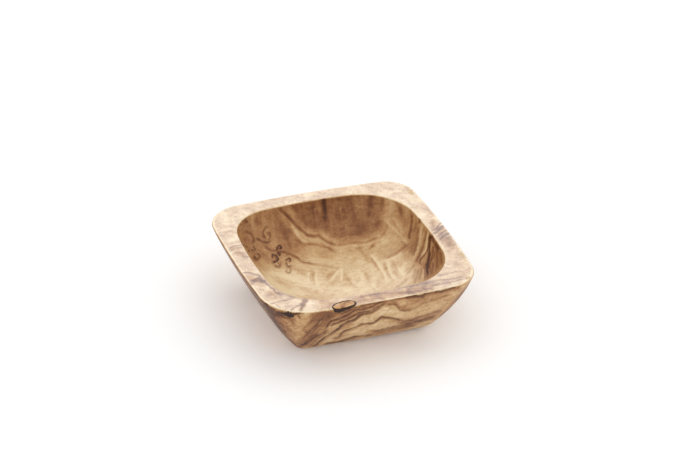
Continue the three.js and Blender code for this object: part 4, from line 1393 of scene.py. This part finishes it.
def branch_end_grain(colours):
    """End grain of a branch, cut and sanded: orange-tan rings round a darker middle."""
    patch_size, ring_width, ring_strength = 3.2, 0.9, 0.5  # two sizes in millimetres
    material, tree, shader, place = new_material("olive_branch_end_grain", roughness=0.6, gloss=OILED_GLOSS)
    patch = add_node(tree, "ShaderNodeTexNoise", {
        "Vector": place, "Scale": 1 / patch_size, "Detail": 4.0, "Distortion": 0.8})
    rings = add_node(tree, "ShaderNodeTexNoise", {
        "Vector": place, "Scale": 1 / ring_width, "Detail": 3.0, "Distortion": 2.0})
    both = add_node(tree, "ShaderNodeMath", (rings, ring_strength, patch), operation="MULTIPLY_ADD")
    colour = add_node(tree, "ShaderNodeValToRGB", (both,), stops=(
        (0.60, colours.brown_wood), (0.76, colours.knot), (0.90, colours.honey_wood)))
    finish(tree, shader, colour, rings, strength=0.4, depth=0.05)
    return material


def ingrown_bark(colours):
    """Bark that the wood has grown round, cut through: nearly black, crumbly and matt."""
    crumb_size = 0.9  # millimetres
    material, tree, shader, place = new_material("ingrown_bark", roughness=0.85, gloss=USUAL_GLOSS)
    crumbs = add_node(tree, "ShaderNodeTexNoise", {
        "Vector": place, "Scale": 1 / crumb_size, "Detail": 5.0, "Roughness": 0.65})
    colour = add_node(tree, "ShaderNodeValToRGB", (crumbs,), stops=(
        (0.40, colours.bark), (0.78, colours.dark_wood)))
    finish(tree, shader, colour, crumbs, strength=0.8, depth=0.25)
    return material


def wood_filler(colours):
    """Filler of glue and sanding dust, sanded flush: pale and chalky, with darker specks of dust."""
    speck_size = 0.8  # millimetres
    material, tree, shader, place = new_material("wood_filler_sanded", roughness=0.6, gloss=OILED_GLOSS)
    specks = add_node(tree, "ShaderNodeTexNoise", {
        "Vector": place, "Scale": 1 / speck_size, "Detail": 4.0, "Roughness": 0.6})
    colour = add_node(tree, "ShaderNodeValToRGB", (specks,), stops=(
        (0.36, colours.tan_wood), (0.58, colours.filler)))
    finish(tree, shader, colour, specks, strength=0.4, depth=0.05)
    return material


def matt_paper(colours):
    """Matt white paper, rolled: an even white with the faintest tooth."""
    tooth_size = 0.6  # millimetres
    material, tree, shader, place = new_material("white_paper_matt", roughness=0.9, gloss=0.0)
    tooth = add_node(tree, "ShaderNodeTexNoise", {"Vector": place, "Scale": 1 / tooth_size})
    finish(tree, shader, opaque(colours.paper), tooth, strength=0.05, depth=0.02)
    fill(tree, shader.inputs["Emission Color"], opaque(colours.paper))
    fill(tree, shader.inputs["Emission Strength"], FLOOR_GLOW)
    return material


# Stage

def add_camera(scene):
    """Camera that took the photograph."""
    place, right, up, forward = camera_axes()
    lens = bpy.data.cameras.new("photo_camera")
    lens.lens = CAMERA_LENS
    lens.sensor_width = SENSOR_WIDTH
    lens.sensor_fit = "HORIZONTAL"
    camera = bpy.data.objects.new("photo_camera", lens)
    turned = Matrix((right, up, -forward)).transposed().to_4x4()
    camera.matrix_world = Matrix.Translation(place) @ turned
    scene.collection.objects.link(camera)
    scene.camera = camera


def add_floor(scene):
    """Sheet of white paper under the bowl."""
    half = FLOOR_SIZE / 2
    corners = ((-half, -half), (half, -half), (half, half), (-half, half))
    sheet = bpy.data.meshes.new("floor")
    sheet.from_pydata([(x, y, -FLOOR_DROP) for x, y in corners], [], [(0, 1, 2, 3)])
    sheet.materials.append(matt_paper(scene.bowl_colours))
    floor = bpy.data.objects.new("floor", sheet)
    scene.collection.objects.link(floor)


def add_sky(scene):
    """White room, brighter from above."""
    world = bpy.data.worlds.new("white_studio")
    world.use_nodes = True
    tree = world.node_tree
    background = tree.nodes["Background"]
    towards = add_node(tree, "ShaderNodeTexCoord", output="Generated")
    rise = add_node(tree, "ShaderNodeSeparateXYZ", (towards,), "Z")
    light = add_node(tree, "ShaderNodeMapRange", (rise, *NONE_TO_ALL, HORIZON_LIGHT, ZENITH_LIGHT))
    fill(tree, background.inputs["Color"], opaque((1, 1, 1)))
    fill(tree, background.inputs["Strength"], light)
    scene.world = world
    scene.view_settings.view_transform = "Standard"


def add_softbox(scene):
    """Softbox that only the gloss of the wood shows."""
    panel = bpy.data.lights.new("softbox", "AREA")
    panel.shape = "RECTANGLE"
    panel.size, panel.size_y = SOFTBOX_SIZE
    panel.energy = SOFTBOX_POWER
    towards = Vector((
        math.sin(SOFTBOX_BEARING) * math.cos(SOFTBOX_ELEVATION),
        math.cos(SOFTBOX_BEARING) * math.cos(SOFTBOX_ELEVATION),
        math.sin(SOFTBOX_ELEVATION),
    ))
    softbox = bpy.data.objects.new("softbox", panel)
    softbox.location = towards * SOFTBOX_DISTANCE
    softbox.rotation_euler = towards.to_track_quat("Z", "Y").to_euler()
    softbox.visible_camera = False
    softbox.visible_diffuse = False
    scene.collection.objects.link(softbox)


# Operators

class OLIVE_BOWL_OT_stage(bpy.types.Operator):
    """Sets the camera as the photograph was taken, the white floor and the soft light."""

    bl_idname = "olive_bowl.stage"
    bl_label = "Stage"

    def execute(self, context):
        for add in (add_camera, add_floor, add_sky, add_softbox):
            add(context.scene)
        return {"FINISHED"}


class OLIVE_BOWL_OT_body(bpy.types.Operator):
    """Carves the bowl out of its block, with the figure of the wood and the sockets of its inlays."""

    bl_idname = "olive_bowl.body"
    bl_label = "Body"

    def execute(self, context):
        sizes = context.scene.bowl_sizes
        block = Block(sizes)
        mesh = block.mesh("block")
        normals = np.zeros(3 * len(mesh.vertices), np.float32)
        mesh.vertex_normals.foreach_get("vector", normals)
        values = traced_figure(block, normals.reshape(-1, 3)).attributes()
        sockets = [knot_lump(sizes, "knot_socket", 0, 0), pocket_lump(sizes, "pocket_socket", 0)]
        sockets += [chip_lump(sizes, name, 0) for name in CHIPS]
        for socket in sockets:
            mesh = combined(mesh, socket, "DIFFERENCE")
        tree = KDTree(len(block.points))
        for number, point in enumerate(block.points):
            tree.insert(point, number)
        tree.balance()
        nearest = np.array([tree.find(vertex.co)[1] for vertex in mesh.vertices])
        for name, value in values.items():
            attribute = mesh.attributes.new(name, "FLOAT", "POINT")
            attribute.data.foreach_set("value", value[nearest].astype(np.float32))
        add_piece("bowl_body", mesh, olive_wood(context.scene.bowl_colours, values))
        return {"FINISHED"}


class OLIVE_BOWL_OT_knot(bpy.types.Operator):
    """Sets the encased knot and its sleeve of bark into the rim, flush with the rim and the wall."""

    bl_idname = "olive_bowl.knot"
    bl_label = "Knot and bark"

    def execute(self, context):
        sizes = context.scene.bowl_sizes
        colours = context.scene.bowl_colours
        block = Block(sizes).mesh("block")
        outside = combined(knot_lump(sizes, "bark", INLAY_GAP, 0), block, "INTERSECT")
        inside = knot_lump(sizes, "bark_inside", INLAY_GAP + sizes.bark_wall, sizes.bark_shift)
        sleeve = combined(outside, inside, "DIFFERENCE")
        core = knot_lump(sizes, "knot", 2 * INLAY_GAP + sizes.bark_wall, sizes.bark_shift)
        knot = combined(core, block, "INTERSECT")
        add_piece("knot_bark_sleeve", sleeve, ingrown_bark(colours))
        add_piece("rim_knot", knot, branch_end_grain(colours))
        return {"FINISHED"}


class OLIVE_BOWL_OT_bark_pocket(bpy.types.Operator):
    """Sets the pocket of bark into the wall, under the rim."""

    bl_idname = "olive_bowl.bark_pocket"
    bl_label = "Bark pocket"

    def execute(self, context):
        sizes = context.scene.bowl_sizes
        block = Block(sizes).mesh("block")
        pocket = combined(pocket_lump(sizes, "bark_pocket", INLAY_GAP), block, "INTERSECT")
        add_piece("bark_pocket", pocket, ingrown_bark(context.scene.bowl_colours))
        return {"FINISHED"}


class OLIVE_BOWL_OT_fillers(bpy.types.Operator):
    """Fills the chips in the rim."""

    bl_idname = "olive_bowl.fillers"
    bl_label = "Filled chips"

    def execute(self, context):
        sizes = context.scene.bowl_sizes
        block = Block(sizes).mesh("block")
        material = wood_filler(context.scene.bowl_colours)
        for name in CHIPS:
            filler = combined(chip_lump(sizes, name, INLAY_GAP), block, "INTERSECT")
            add_piece(name, filler, material)
        return {"FINISHED"}


class OLIVE_BOWL_PT_panel(bpy.types.Panel):
    """Lists the sizes and colours of the bowl and the steps that make it."""

    bl_idname = "OLIVE_BOWL_PT_panel"
    bl_label = "Olive bowl"
    bl_space_type = "VIEW_3D"
    bl_region_type = "UI"
    bl_category = "Olive Bowl"

    def draw(self, context):
        for group in (context.scene.bowl_sizes, context.scene.bowl_colours):
            for name in type(group).__annotations__:
                self.layout.prop(group, name)
        for step in OPERATORS:
            self.layout.operator(step.bl_idname)


OPERATORS = (
    OLIVE_BOWL_OT_stage,
    OLIVE_BOWL_OT_body,
    OLIVE_BOWL_OT_knot,
    OLIVE_BOWL_OT_bark_pocket,
    OLIVE_BOWL_OT_fillers,
)
CLASSES = (BowlSizes, BowlColours, *OPERATORS, OLIVE_BOWL_PT_panel)


def register():
    """Adds the classes, and the bowl's sizes and colours to every scene."""
    for made in CLASSES:
        bpy.utils.register_class(made)
    bpy.types.Scene.bowl_sizes = bpy.props.PointerProperty(type=BowlSizes)
    bpy.types.Scene.bowl_colours = bpy.props.PointerProperty(type=BowlColours)


def unregister():
    """Takes away what register added."""
    del bpy.types.Scene.bowl_colours
    del bpy.types.Scene.bowl_sizes
    for made in reversed(CLASSES):
        bpy.utils.unregister_class(made)


def main():
    """Makes the stage and the bowl."""
    register()
    bpy.ops.olive_bowl.stage()
    bpy.ops.olive_bowl.body()
    bpy.ops.olive_bowl.knot()
    bpy.ops.olive_bowl.bark_pocket()
    bpy.ops.olive_bowl.fillers()


if __name__ == "__main__":
    main()
